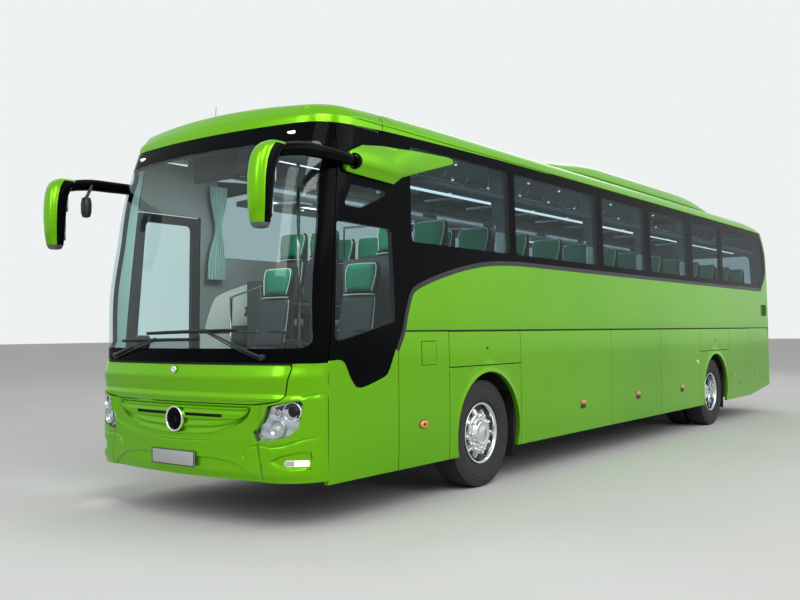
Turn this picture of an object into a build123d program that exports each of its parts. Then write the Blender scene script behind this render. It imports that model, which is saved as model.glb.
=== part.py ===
"""Two-axle high-deck touring coach, full size, in millimetres.

Axes: +X is the coach's left side, the front faces -Y, +Z is up. The origin is on the ground at the
centre of the bounding box, so the mirrors ahead of the bumper count. A station is a distance
measured rearwards from the front face of the bumper.
"""
from math import asin, cos, radians, sin
import os

from build123d import *

# ---- overall sizes -------------------------------------------------------------------------------
LENGTH = 13115.0            # bumper to bumper
WIDTH = 2550.0
HEIGHT = 3680.0             # to the top of the roof air conditioning
WHEELBASE = 6910.0
FRONT_OVERHANG = 2820.0
MIRROR_REACH = 363.0        # how far the mirrors stand ahead of the bumper
HALF = WIDTH / 2
FRONT = -(LENGTH - MIRROR_REACH) / 2
REAR = FRONT + LENGTH

# ---- heights -------------------------------------------------------------------------------------
SKIRT = 353.0               # lower edge of the side panels
SEAM = 1285.0               # top of the front flap, foot of the windscreen mask
BELT = 1521.0               # hinge line of the side flaps
BAND = 2230.0               # lower edge of the window band
EAVES = 3248.0              # where the roof meets the walls
CROWN = 3455.0              # top of the roof skin
WALL = 50.0                 # thickness of walls, doors, flaps and roof
GAP = 8.0                   # shut line around a moving panel
SEAT = 0.3                  # clearance where one piece rests on another
GLASS = 7.7                 # thickness of a bonded pane
REBATE = 25.0               # overlap of a pane on its frame

# ---- wheels --------------------------------------------------------------------------------------
TYRE_RADIUS = 522.0
TYRE_WIDTH = 298.0
BEAD_RADIUS = 286.0
RIM_FLANGE = 298.0
RIM_WIDTH = 229.0
FRONT_TRACK_HALF = 1045.0
REAR_OUTER_HALF = 1056.0
REAR_INNER_HALF = 718.0
KINGPIN_X = 905.0
STEER_LIMIT = 48.0
ARCH_RADIUS = 580.0
FRONT_AXLE_Y = FRONT + FRONT_OVERHANG
REAR_AXLE_Y = FRONT_AXLE_Y + WHEELBASE

# ---- plan shape ----------------------------------------------------------------------------------
NOSE_RADIUS = 5200.0
NOSE_CORNER = 340.0
TAIL_RADIUS = 9000.0
TAIL_CORNER = 280.0
MASK_STEP = 38.0            # the mask stands this far behind the bumper's face

# columns: height, half width, setback of the front, setback of the rear
HULL = (
    (SEAM, HALF, MASK_STEP, 0.0),
    (1600.0, HALF, 40.0, 0.0),
    (1790.0, HALF - 3, 43.0, 0.0),
    (2350.0, HALF - 13, 124.0, 0.0),
    (2735.0, HALF - 22, 192.0, 12.0),
    (2983.0, HALF - 29, 277.0, 75.0),
    (3200.0, HALF - 36, 354.0, 215.0),
    (EAVES, HALF - 37, 374.0, 262.0),
    (3480.0, HALF - 42, 470.0, 600.0),
)

# ---- side panels, as stations --------------------------------------------------------------------
CAP_SEAM = 438.0            # front cap against the side
DOOR_REAR = 1336.0
ARCH_FRONT = 2115.0
ARCH_REAR = 3445.0
BAY_1 = 5721.0
BAY_2 = 7370.0
REAR_ARCH_FRONT = 8987.0
REAR_ARCH_REAR = 10440.0
ENGINE_SIDE_REAR = 11600.0
TAIL_SEAM = 12785.0         # rear cap against the side
FRONT_ARCH_FLAP_FOOT = 1192.0
REAR_ARCH_FLAP_FOOT = 1180.0
SEAM_LEAN = 0.095           # how far the cap seam leans rearwards per unit of height

# ---- floors --------------------------------------------------------------------------------------
FLOOR_TOP = 1370.0
FLOOR_THICKNESS = 40.0
DRIVER_FLOOR = 930.0
STEP_FLOOR = 415.0

os.makedirs("parts", exist_ok=True)


def station(distance):
    """Y of a distance measured rearwards from the bumper's face."""
    return FRONT + distance


def save(part, name):
    part.label = name
    export_step(part, f"parts/{name}.step")


def outline(half, front, rear, inset=0.0):
    """Plan section: crowned front and rear, corner arcs and straight sides, set in by inset."""
    w, y0, y1 = half - inset, FRONT + front + inset, REAR - rear - inset
    nose, corner = NOSE_RADIUS - inset, NOSE_CORNER - inset
    tail, heel = TAIL_RADIUS - inset, TAIL_CORNER - inset
    turn = asin((w - corner) / (nose - corner))
    bend = asin((w - heel) / (tail - heel))
    corner_y = y0 + nose - (nose - corner) * cos(turn)
    heel_y = y1 - tail + (tail - heel) * cos(bend)
    front_end = (nose * sin(turn), y0 + nose - nose * cos(turn))
    rear_end = (tail * sin(bend), y1 - tail + tail * cos(bend))
    mid, back = (turn + radians(90)) / 2, (bend + radians(90)) / 2
    front_mid = (w - corner + corner * sin(mid), corner_y - corner * cos(mid))
    rear_mid = (w - heel + heel * sin(back), heel_y + heel * cos(back))
    flip = lambda p: (-p[0], p[1])
    with BuildLine() as line:
        ThreePointArc(flip(front_end), (0, y0), front_end)
        ThreePointArc(front_end, front_mid, (w, corner_y))
        Line((w, corner_y), (w, heel_y))
        ThreePointArc((w, heel_y), rear_mid, rear_end)
        ThreePointArc(rear_end, (0, y1), flip(rear_end))
        ThreePointArc(flip(rear_end), flip(rear_mid), (-w, heel_y))
        Line((-w, heel_y), (-w, corner_y))
        ThreePointArc((-w, corner_y), flip(front_mid), flip(front_end))
    return line.edges()


def drum(low, high, inset=0.0, front=0.0):
    """Upright body of the lower plan section between two heights."""
    with BuildPart() as body:
        with BuildSketch(Plane.XY.offset(low)):
            make_face(outline(HALF, front, 0.0, inset))
        extrude(amount=high - low)
    return body.part


def crown_prism(inset):
    """Roof cross-section along the whole coach: eaves, corner arcs and a shallow crown."""
    eaves_x, corner = HALF - 37 - inset, 143.0 - inset
    top = CROWN - inset
    edge = (eaves_x - corner * 0.88, EAVES + corner * 0.993)
    knee = (eaves_x - corner * 0.293, EAVES + corner * 0.707)
    with BuildPart() as body:
        with BuildSketch(Plane.XZ.offset(-REAR)):
            with BuildLine():
                Polyline((eaves_x + 60, 1000), (eaves_x + 60, EAVES), (eaves_x, EAVES))
                ThreePointArc((eaves_x, EAVES), knee, edge)
                ThreePointArc(edge, (0, top), (-edge[0], edge[1]))
                ThreePointArc((-edge[0], edge[1]), (-knee[0], knee[1]), (-eaves_x, EAVES))
                Polyline((-eaves_x, EAVES), (-eaves_x - 60, EAVES), (-eaves_x - 60, 1000), (eaves_x + 60, 1000))
            make_face()
        extrude(amount=LENGTH)
    return body.part


def profile_prism(inset):
    """Side view of the roof line: a rounded visor in front and a rounded tail."""
    brow, tail = (station(405 + inset), 3310 - inset), (station(LENGTH - 420 - inset), 3330 - inset)
    top = CROWN - inset
    with BuildPart() as body:
        with BuildSketch(Plane.YZ.offset(-HALF)):
            with BuildLine():
                Polyline((station(-50), 1000), (station(-50), brow[1]), brow)
                ThreePointArc(brow, (station(455 + inset), 3375 - inset), (station(560 + inset), 3404 - inset))
                ThreePointArc((station(560 + inset), 3404 - inset), (station(1300), top - 12), (station(2052), top))
                Line((station(2052), top), (station(LENGTH - 1500), top))
                ThreePointArc((station(LENGTH - 1500), top), (station(LENGTH - 800), top - 38), tail)
                Polyline(tail, (station(LENGTH + 50), tail[1]), (station(LENGTH + 50), 1000), (station(-50), 1000))
            make_face()
        extrude(amount=WIDTH)
    return body.part


def hull(inset):
    """Upper body above the front flap, with tumblehome, raked windscreen and rounded roof."""
    with BuildPart() as body:
        for height, half, front, rear in HULL:
            with BuildSketch(Plane.XY.offset(height)):
                make_face(outline(half, front, rear, inset))
        loft(ruled=True)
        add(crown_prism(inset), mode=Mode.INTERSECT)
        add(profile_prism(inset), mode=Mode.INTERSECT)
    return body.part


def side_prism(points, x_low, x_high, grow=0.0):
    """Prism of a side-view outline, given as stations and heights, between two X, grown all round."""
    with BuildPart() as body:
        with BuildSketch(Plane.YZ.offset(x_low)):
            with BuildLine():
                Polyline(*[(station(s), z) for s, z in points], close=True)
            make_face()
            if grow:
                offset(amount=grow, kind=Kind.INTERSECTION)
        extrude(amount=x_high - x_low)
    return body.part


def front_prism(points, y_low, y_high, grow=0.0):
    """Prism of a front-view outline between two Y, grown all round."""
    with BuildPart() as body:
        with BuildSketch(Plane.XZ.offset(-y_high)):
            with BuildLine():
                Polyline(*points, close=True)
            make_face()
            if grow:
                offset(amount=grow, kind=Kind.INTERSECTION)
        extrude(amount=y_high - y_low)
    return body.part


def block(low, high):
    """Plain box between two corners."""
    size = [h - l for l, h in zip(low, high)]
    with BuildPart() as body:
        with Locations(tuple((l + h) / 2 for l, h in zip(low, high))):
            Box(*size)
    return body.part


def rod(start, end, radius):
    """Round bar between two points."""
    axis = Vector(end) - Vector(start)
    with BuildPart() as body:
        with BuildSketch(Plane(origin=start, z_dir=axis)):
            Circle(radius)
        extrude(amount=axis.length)
    return body.part


def panel(low, high, side=1):
    """Upright panel of one side wall between two stations and two heights, WALL thick."""
    x = sorted((side * (HALF - WALL), side * HALF))
    return block((x[0], station(low[0]), low[1]), (x[1], station(high[0]), high[1]))


def slab(s0, s1, x0, x1, z0, z1):
    """Box between two stations."""
    return block((x0, station(s0), z0), (x1, station(s1), z1))


def joined(*parts):
    """One part from pieces that touch or lie apart."""
    with BuildPart() as body:
        for part in parts:
            add(part)
    return body.part


def cut(part, *tools):
    """Part less its tools."""
    with BuildPart() as body:
        add(part)
        for tool in tools:
            add(tool, mode=Mode.SUBTRACT)
    return body.part


def within(part, *tools):
    """What a part shares with its tools."""
    with BuildPart() as body:
        add(part)
        for tool in tools:
            add(tool, mode=Mode.INTERSECT)
    return body.part


def both(part):
    """A part with its mirror image on the other side of the coach."""
    with BuildPart() as body:
        add(part)
        mirror(about=Plane.YZ)
    return body.part


def flipped(part):
    """The same part on the other side of the coach."""
    with BuildPart() as body:
        add(part)
        mirror(about=Plane.YZ, mode=Mode.REPLACE)
    return body.part


# ---- hinges --------------------------------------------------------------------------------------
HINGE_RADIUS = 4.0
HINGE_INSET = 4.0           # hinge axis behind the outer face
HINGE_KNUCKLE = 60.0
HINGE_SET = 180.0           # from a flap's end to its first hinge
HINGE_DROP = 6.0            # from the hinge axis down to the flap's top edge
HINGE_RISE = 10.0           # from the hinge axis up to the wall's edge
HINGE_X = HALF - HINGE_INSET


def side_hinge(low, high, side, moving):
    """Knuckles along a flap's top edge: those of the flap, or those of the wall above it."""
    knuckles = []
    for start in (low + HINGE_SET, high - HINGE_SET - 2 * HINGE_KNUCKLE):
        first = start + (0.0 if moving else HINGE_KNUCKLE + SEAT)
        y0, y1 = station(first), station(first + HINGE_KNUCKLE - SEAT)
        knuckles.append(rod((side * HINGE_X, y0, BELT), (side * HINGE_X, y1, BELT), HINGE_RADIUS))
        x = sorted((side * (HINGE_X - HINGE_RADIUS), side * (HINGE_X + 2)))
        z = (BELT - HINGE_DROP - 1, BELT) if moving else (BELT, BELT + HINGE_RISE + 1)
        knuckles.append(block((x[0], y0, z[0]), (x[1], y1, z[1])))
    return knuckles


def side_flap(low, high, foot, side=1):
    """Top-hinged flap between two shut lines."""
    body = panel((low + GAP / 2, foot), (high - GAP / 2, BELT - HINGE_DROP), side)
    return joined(body, *side_hinge(low, high, side, True))


def arch_cylinder(axle_y, radius=ARCH_RADIUS, side=1):
    x = sorted((side * 900.0, side * (HALF + 10)))
    return rod((x[0], axle_y, TYRE_RADIUS + 20), (x[1], axle_y, TYRE_RADIUS + 20), radius)


# ---- body shell ----------------------------------------------------------------------------------
UPPER = hull(0.0)
UPPER_INNER = hull(WALL)
UPPER_PANE = hull(GLASS)
UPPER_REBATE = hull(GLASS + SEAT)
SKIN_CLEAR = hull(-SEAT)
CABIN = hull(WALL + SEAT)
SHELL = cut(UPPER, UPPER_INNER)
PANE_LAYER = cut(UPPER, UPPER_PANE)
REBATE_LAYER = cut(UPPER, UPPER_REBATE)
LOWER_RING = cut(drum(SKIRT, SEAM), drum(SKIRT, SEAM, WALL))

VISOR_FOOT = 3185.0
VISOR_SEAM = 1190.0
MASK_FOOT = SEAM + 6
WALL_FOOT = BELT + HINGE_RISE


def cap_seam(height):
    """Station of the front cap's seam at a height."""
    return CAP_SEAM + max(0.0, height - MASK_FOOT) * SEAM_LEAN


# side windows: start and end stations; the last one's rear edge is cut to the corner
WINDOW_FOOT, WINDOW_HEAD = 2300.0, 3140.0
SIDE_WINDOWS = ((1560.0, 3270.0), (3400.0, 5390.0), (5560.0, 6930.0), (7110.0, 8580.0), (8790.0, 10090.0))
REAR_SIDE_WINDOW = ((10230.0, WINDOW_FOOT), (10230.0, WINDOW_HEAD), (12420.0, WINDOW_HEAD),
                    (12640.0, 2800.0), (12640.0, 2560.0), (12330.0, WINDOW_FOOT))
DRIVER_WINDOW = ((535.0, 1450.0), (1300.0, 1610.0), (1275.0, 2385.0), (600.0, 2385.0))
DRIVER_VENT = ((640.0, 2520.0), (1200.0, 2520.0), (1200.0, 2700.0), (760.0, 2700.0))


def window_outlines():
    outlines = [((a, WINDOW_FOOT), (b, WINDOW_FOOT), (b, WINDOW_HEAD), (a, WINDOW_HEAD)) for a, b in SIDE_WINDOWS]
    return outlines + [REAR_SIDE_WINDOW]


DOOR_HEAD = 2680.0
FRONT_DOOR = ((CAP_SEAM, SKIRT), (CAP_SEAM, MASK_FOOT), (cap_seam(DOOR_HEAD), DOOR_HEAD),
              (DOOR_REAR, DOOR_HEAD), (DOOR_REAR, SKIRT))
MID_DOOR_FRONT, MID_DOOR_REAR = 7450.0, 8190.0
MID_DOOR = ((MID_DOOR_FRONT, SKIRT), (MID_DOOR_FRONT, BAND - 40), (MID_DOOR_REAR, BAND - 40), (MID_DOOR_REAR, SKIRT))
FRONT_DOOR_GLASS = ((560.0, 1180.0), (1220.0, 1180.0), (1220.0, 2560.0), (680.0, 2560.0))
MID_DOOR_GLASS = ((7560.0, 1250.0), (8080.0, 1250.0), (8080.0, 2080.0), (7560.0, 2080.0))

SIDE_X = (HALF - 300, HALF + 20)
OTHER_SIDE_X = (-HALF - 20, 300 - HALF)
EVERY_X = (-HALF - 20, HALF + 20)

UPPER_WALL = ((CAP_SEAM, SEAM), (CAP_SEAM, MASK_FOOT), (cap_seam(VISOR_FOOT), VISOR_FOOT), (VISOR_SEAM, VISOR_FOOT),
              (VISOR_SEAM, EAVES), (TAIL_SEAM, EAVES), (TAIL_SEAM, WALL_FOOT), (ARCH_FRONT, WALL_FOOT),
              (ARCH_FRONT, SEAM))
TAIL_RISE = ((ENGINE_SIDE_REAR, SKIRT - 30), (ENGINE_SIDE_REAR, SKIRT), (TAIL_SEAM, 470.0), (LENGTH + 40, 505.0),
             (LENGTH + 40, SKIRT - 30))

# side flaps: start and end stations, foot height, side, name
LUGGAGE_FLAPS = (
    (ARCH_REAR, BAY_1, 1, "left_front_luggage_flap"),
    (BAY_1, BAY_2, 1, "left_middle_luggage_flap"),
    (BAY_2, REAR_ARCH_FRONT, 1, "left_rear_luggage_flap"),
    (ARCH_REAR, BAY_1, -1, "right_front_luggage_flap"),
    (BAY_1, MID_DOOR_FRONT, -1, "right_middle_luggage_flap"),
    (MID_DOOR_REAR, REAR_ARCH_FRONT, -1, "right_rear_luggage_flap"),
)
SERVICE_FLAPS = (
    (ARCH_FRONT, ARCH_REAR, FRONT_ARCH_FLAP_FOOT, "front_arch_flap"),
    (REAR_ARCH_FRONT, REAR_ARCH_REAR, REAR_ARCH_FLAP_FOOT, "rear_arch_flap"),
    (REAR_ARCH_REAR, ENGINE_SIDE_REAR, SKIRT, "engine_side_flap"),
)
LID = ((1680.0, 1226.0), (1905.0, 1431.0))
LID_HINGE_S = LID[0][0] - 2


def side_wall(side):
    """One side above the belt with its fixed panels below, windows cut through and rebated."""
    x = SIDE_X if side > 0 else OTHER_SIDE_X
    pieces = [within(SHELL, side_prism(UPPER_WALL, *x)),
              panel((CAP_SEAM, SKIRT), (ARCH_FRONT, SEAM - SEAT), side),
              panel((ARCH_FRONT + SEAT, SKIRT), (ARCH_REAR - GAP / 2, FRONT_ARCH_FLAP_FOOT - GAP), side),
              panel((REAR_ARCH_FRONT + GAP / 2, SKIRT), (REAR_ARCH_REAR - GAP / 2, REAR_ARCH_FLAP_FOOT - GAP), side),
              panel((ENGINE_SIDE_REAR + GAP / 2, SKIRT), (TAIL_SEAM, WALL_FOOT - SEAT), side)]
    flaps = [(a, b) for a, b, s, _ in LUGGAGE_FLAPS if s == side] + [(a, b) for a, b, _, _ in SERVICE_FLAPS]
    for a, b in flaps:
        pieces += side_hinge(a, b, side, False)
    tools = [arch_cylinder(FRONT_AXLE_Y, side=side), arch_cylinder(REAR_AXLE_Y, side=side),
             side_prism(TAIL_RISE, *x)]
    openings = window_outlines()
    if side > 0:
        openings += [DRIVER_WINDOW, DRIVER_VENT]
        tools.append(block((HALF - WALL - 5, station(LID[0][0] - 10), LID[0][1] - GAP / 2),
                           (HALF + 5, station(LID[1][0] + GAP / 2), LID[1][1] + GAP / 2)))
    else:
        tools.append(side_prism(FRONT_DOOR, *x))
        tools.append(side_prism(MID_DOOR, *x))
    for outline_points in openings:
        tools.append(side_prism(outline_points, *x))
    wall = cut(joined(*pieces), *tools)
    rebates = [within(REBATE_LAYER, side_prism(o, *x, grow=REBATE + SEAT)) for o in openings]
    wall = cut(wall, *rebates)
    if side > 0:
        wall = joined(wall, *lid_hinge(False))
    return wall


def lid_hinge(moving):
    """Upright knuckles at the service lid's front edge."""
    s = LID_HINGE_S
    z0 = LID[0][1] + (40.0 if moving else 80.0 + SEAT)
    y = station(s)
    knuckle = rod((HINGE_X, y, z0), (HINGE_X, y, z0 + 40 - SEAT), HINGE_RADIUS)
    ys = (y, station(LID[0][0] + 6)) if moving else (station(LID[0][0] - 12), y)
    web = block((HINGE_X - HINGE_RADIUS, ys[0], z0), (HINGE_X + 2, ys[1], z0 + 40 - SEAT))
    return [knuckle, web]


save(side_wall(1), "left_wall")
save(side_wall(-1), "right_wall")
lid = joined(panel((LID[0][0] + 4, LID[0][1]), (LID[1][0], LID[1][1])), *lid_hinge(True))
save(lid, "service_lid")

panes = []
for x, openings in ((SIDE_X, window_outlines() + [DRIVER_WINDOW, DRIVER_VENT]), (OTHER_SIDE_X, window_outlines())):
    panes += [within(PANE_LAYER, side_prism(o, *x, grow=REBATE)) for o in openings]

for low, high, side, name in LUGGAGE_FLAPS:
    save(side_flap(low, high, SKIRT, side), name)
for low, high, foot, name in SERVICE_FLAPS:
    for side, word in ((1, "left"), (-1, "right")):
        flap = side_flap(low, high, foot, side)
        save(flap, f"{word}_{name}")

# ---- roof and air conditioning -------------------------------------------------------------------
roof_region = side_prism(((VISOR_SEAM, EAVES), (VISOR_SEAM, 3600), (LENGTH + 20, 3600), (LENGTH + 20, EAVES)), *EVERY_X)
save(within(SHELL, roof_region), "roof")
visor_region = side_prism(((-40, VISOR_FOOT), (-40, 3600), (VISOR_SEAM, 3600), (VISOR_SEAM, VISOR_FOOT)), *EVERY_X)
save(within(SHELL, visor_region), "roof_visor")

POD_HALF = 930.0
with BuildPart() as roof_air_con:
    with BuildSketch(Plane.YZ.offset(-POD_HALF)):
        with BuildLine():
            Polyline((station(4850), 3300), (station(4850), 3440), (station(5350), 3580))
            ThreePointArc((station(5350), 3580), (station(5800), 3655), (station(6400), HEIGHT))
            Line((station(6400), HEIGHT), (station(9100), HEIGHT))
            ThreePointArc((station(9100), HEIGHT), (station(9900), 3640), (station(10700), 3440))
            Polyline((station(10700), 3440), (station(10700), 3300), (station(4850), 3300))
        make_face()
    extrude(amount=2 * POD_HALF)
    with BuildSketch(Plane.XZ.offset(-station(10800))):
        with BuildLine():
            Polyline((-POD_HALF, 3300), (POD_HALF, 3300), (POD_HALF, 3480))
            ThreePointArc((POD_HALF, 3480), (POD_HALF - 80, 3600), (POD_HALF - 260, 3655))
            ThreePointArc((POD_HALF - 260, 3655), (0, HEIGHT), (260 - POD_HALF, 3655))
            ThreePointArc((260 - POD_HALF, 3655), (80 - POD_HALF, 3600), (-POD_HALF, 3480))
            Line((-POD_HALF, 3480), (-POD_HALF, 3300))
        make_face()
    extrude(amount=6100, mode=Mode.INTERSECT)
    add(crown_prism(-SEAT), mode=Mode.SUBTRACT)
save(roof_air_con.part, "roof_air_con")

# ---- front ---------------------------------------------------------------------------------------
SCREEN = ((-1236, 1400), (1236, 1400), (1220, 2350), (1186, 3020), (600, 3040), (-600, 3040), (-1186, 3020),
          (-1220, 2350))
BUMPER_FOOT = 390.0
FLAP_FOOT = 975.0
FLAP_SKIN = 12.0            # thickness of the flap, and of the bumper's lip around it
FLAP_LIP = 45.0
FRONT_FLAP = ((-820, FLAP_FOOT), (820, FLAP_FOOT), (955, 988), (1050, 1006), (1093, 1034), (1133, 1222),
              (1133, SEAM - 12), (-1133, SEAM - 12), (-1133, 1222), (-1093, 1034), (-1050, 1006), (-955, 988))
GRILLE = ((-797, 955), (797, 955), (770, 890), (690, 828), (400, 741), (0, 712), (-400, 741), (-690, 828), (-770, 890))
SLOTS = ((114, 530, 859, 896), (114, 530, 800, 822))
HEADLAMP = ((963, 968), (1213, 1015), (1187, 809), (1117, 735), (861, 690), (840, 775), (929, 873))
FOG_LAMP = ((1087, 515), (1235, 515), (1235, 563), (1087, 563))
BADGE = (0.0, 834.0, 105.0)
PLATE = (520.0, 125.0, 12.0)
FRONT_PLATE_Z = 528.0
FRONT_Y = (station(-30), station(CAP_SEAM))

mask_region = side_prism(((-40, MASK_FOOT), (CAP_SEAM, MASK_FOOT), (cap_seam(VISOR_FOOT), VISOR_FOOT),
                          (-40, VISOR_FOOT)), *EVERY_X)
deep_front = (station(-30), station(700))
front_mask = cut(within(SHELL, mask_region), front_prism(SCREEN, *deep_front),
                 within(REBATE_LAYER, front_prism(SCREEN, *deep_front, grow=REBATE + SEAT), mask_region))
FLAP_PIVOT = (station(20), SEAM - 1)
FLAP_HINGE_X = 480.0


def flap_hinge(side, moving):
    """One knuckle of the front flap's hinge with its web."""
    x0 = side * FLAP_HINGE_X + (0 if moving else HINGE_KNUCKLE + SEAT)
    x1 = x0 + HINGE_KNUCKLE - SEAT
    y, z = FLAP_PIVOT
    web = ((x0, y - 3, z - 14), (x1, y + 8, z)) if moving else ((x0, y, z), (x1, station(75), MASK_FOOT + 1))
    return [rod((x0, y, z), (x1, y, z), 5.0), block(*web)]


front_mask = joined(front_mask, *flap_hinge(1, False), *flap_hinge(-1, False))
save(front_mask, "front_mask")
save(within(PANE_LAYER, front_prism(SCREEN, *deep_front, grow=REBATE), mask_region), "windscreen")

front_ring = within(cut(drum(BUMPER_FOOT, SEAM + 6), drum(BUMPER_FOOT, SEAM + 6, WALL)),
                    block((-HALF, station(-10), BUMPER_FOOT), (HALF, station(CAP_SEAM), SEAM + 6)))
front_bumper = cut(front_ring, front_prism(FRONT_FLAP, *FRONT_Y, grow=GAP),
                   block((-1140, station(-20), SEAM - 30), (1140, station(CAP_SEAM), SEAM + 10)),
                   front_prism(GRILLE, *FRONT_Y),
                   within(drum(BUMPER_FOOT, SEAM + 10, FLAP_SKIN), front_prism(FRONT_FLAP, *FRONT_Y, grow=FLAP_LIP)))
lamp_tools = []
for outline_points in (HEADLAMP, FOG_LAMP):
    lamp_tools.append(front_prism(outline_points, *FRONT_Y))
    lamp_tools.append(flipped(lamp_tools[-1]))
save(cut(front_bumper, *lamp_tools), "front_bumper")
lamp_ring = cut(drum(BUMPER_FOOT, SEAM, 2.0), drum(BUMPER_FOOT, SEAM, WALL))
save(joined(*[within(lamp_ring, tool) for tool in lamp_tools]), "headlamps")

grille_ring = cut(drum(BUMPER_FOOT, SEAM, 8.0), drum(BUMPER_FOOT, SEAM, WALL - 10))
slots = [block((s * x0 if s > 0 else -x1, station(-20), z0), (x1 if s > 0 else -x0, station(100), z1))
         for x0, x1, z0, z1 in SLOTS for s in (1, -1)]
grille = cut(within(grille_ring, front_prism(GRILLE, *FRONT_Y)), *slots)
badge = rod((BADGE[0], station(2), BADGE[1]), (BADGE[0], station(30), BADGE[1]), BADGE[2])
save(joined(grille, badge), "grille_panel")

flap_ring = cut(drum(FLAP_FOOT, SEAM), drum(FLAP_FOOT, SEAM, FLAP_SKIN))
front_flap = joined(within(flap_ring, front_prism(FRONT_FLAP, *FRONT_Y)), *flap_hinge(1, True), *flap_hinge(-1, True))
save(front_flap, "front_flap")

# ---- rear ----------------------------------------------------------------------------------------
TAIL_FOOT = 905.0
ENGINE_FLAP_HALF = 860.0
ENGINE_FLAP_HEAD = 1960.0
REAR_SCREEN = ((-930, 2230), (930, 2230), (900, 2900), (-900, 2900))
TAIL_LAMP = ((940, 1010), (1130, 1010), (1130, 1760), (1000, 1760))
TAIL_Y = (station(TAIL_SEAM - 60), station(LENGTH + 20))
TAIL_PIVOT = (station(LENGTH - 12), ENGINE_FLAP_HEAD + 10)
TAIL_HINGE_X = 250.0
HEAD_ROOM = 18.0            # over the hinge axis, for the flap's edge as it swings up

tail_region = side_prism(((TAIL_SEAM, MASK_FOOT), (LENGTH + 30, MASK_FOOT), (LENGTH + 30, EAVES), (TAIL_SEAM, EAVES)), *EVERY_X)
lower_tail = within(cut(drum(SKIRT, MASK_FOOT), drum(SKIRT, MASK_FOOT, WALL)),
                    block((-HALF, station(TAIL_SEAM), SKIRT), (HALF, REAR + 1, MASK_FOOT)))
deep_tail = (station(12300), station(LENGTH + 20))


def engine_flap_outline(grow):
    return front_prism(((-ENGINE_FLAP_HALF, TAIL_FOOT), (ENGINE_FLAP_HALF, TAIL_FOOT),
                        (ENGINE_FLAP_HALF, ENGINE_FLAP_HEAD), (-ENGINE_FLAP_HALF, ENGINE_FLAP_HEAD)), *TAIL_Y, grow=grow)


def tail_hinge(side, moving):
    """One knuckle of the engine flap's hinge with its web."""
    x0 = side * TAIL_HINGE_X + (0 if moving else HINGE_KNUCKLE + SEAT)
    x1 = x0 + HINGE_KNUCKLE - SEAT
    y, z = TAIL_PIVOT
    web = ((x0, y - 8, z - 14), (x1, y + 3, z)) if moving else ((x0, y - 10, z), (x1, y, z + HEAD_ROOM + 2))
    return [rod((x0, y, z), (x1, y, z), 5.0), block(*web)]


tail_lamps = front_prism(TAIL_LAMP, *TAIL_Y)
tail_lamps = joined(tail_lamps, flipped(tail_lamps))
rear_shell = joined(within(SHELL, tail_region), cut(lower_tail, block((-HALF, station(TAIL_SEAM - 5), SKIRT - 5),
                                                                      (HALF, REAR + 5, TAIL_FOOT))))
rear_wall = cut(rear_shell, front_prism(REAR_SCREEN, *deep_tail),
                within(REBATE_LAYER, front_prism(REAR_SCREEN, *deep_tail, grow=REBATE + SEAT)),
                engine_flap_outline(GAP), tail_lamps,
                slab(TAIL_SEAM, LENGTH + 5, -ENGINE_FLAP_HALF - GAP, ENGINE_FLAP_HALF + GAP, ENGINE_FLAP_HEAD,
                     TAIL_PIVOT[1] + HEAD_ROOM))
save(joined(rear_wall, *tail_hinge(1, False), *tail_hinge(-1, False)), "rear_wall")
save(joined(*panes, within(PANE_LAYER, front_prism(REAR_SCREEN, *deep_tail, grow=REBATE))), "windows")
save(within(rear_shell, tail_lamps), "tail_lamps")
tail_panel = within(joined(within(cut(UPPER, hull(30.0)), tail_region),
                           cut(drum(SKIRT, MASK_FOOT), drum(SKIRT, MASK_FOOT, 30.0))), engine_flap_outline(0.0))
save(joined(tail_panel, *tail_hinge(1, True), *tail_hinge(-1, True)), "engine_flap")
REAR_PLATE_Z = 700.0


def plate_box(y0, y1, height, clearance=0.0):
    """Blank number plate between two Y."""
    reach, rise = PLATE[0] / 2 + clearance, PLATE[1] / 2 + clearance
    return block((-reach, y0, height - rise), (reach, y1, height + rise))


REAR_PLATE_Y = (REAR - 4 - PLATE[2], REAR - 4)
rear_bumper = cut(within(lower_tail, block((-HALF, station(TAIL_SEAM), SKIRT), (HALF, REAR + 1, TAIL_FOOT - GAP))),
                  side_prism(TAIL_RISE, *EVERY_X), plate_box(REAR_PLATE_Y[0] - SEAT, REAR + 5, REAR_PLATE_Z, SEAT))
save(rear_bumper, "rear_bumper")
front_plate = plate_box(station(-PLATE[2]), station(-SEAT), FRONT_PLATE_Z)
save(joined(front_plate, plate_box(*REAR_PLATE_Y, REAR_PLATE_Z)), "number_plates")

# ---- doors ---------------------------------------------------------------------------------------
PILLAR_X = 1150.0           # axis of the turning pillar from the centre line
DOOR_PIVOT_X = 1125.0       # axis of the pivots on the door
PILLAR_RADIUS = 20.0
LEVER_HEIGHTS = (720.0, 1100.0)
LEVER_THICKNESS = 30.0
PILLAR_TOP = 1250.0
FRONT_PILLAR_S, FRONT_PIVOT_S = 505.0, 985.0
MID_PILLAR_S, MID_PIVOT_S = 7515.0, 7915.0


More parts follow.
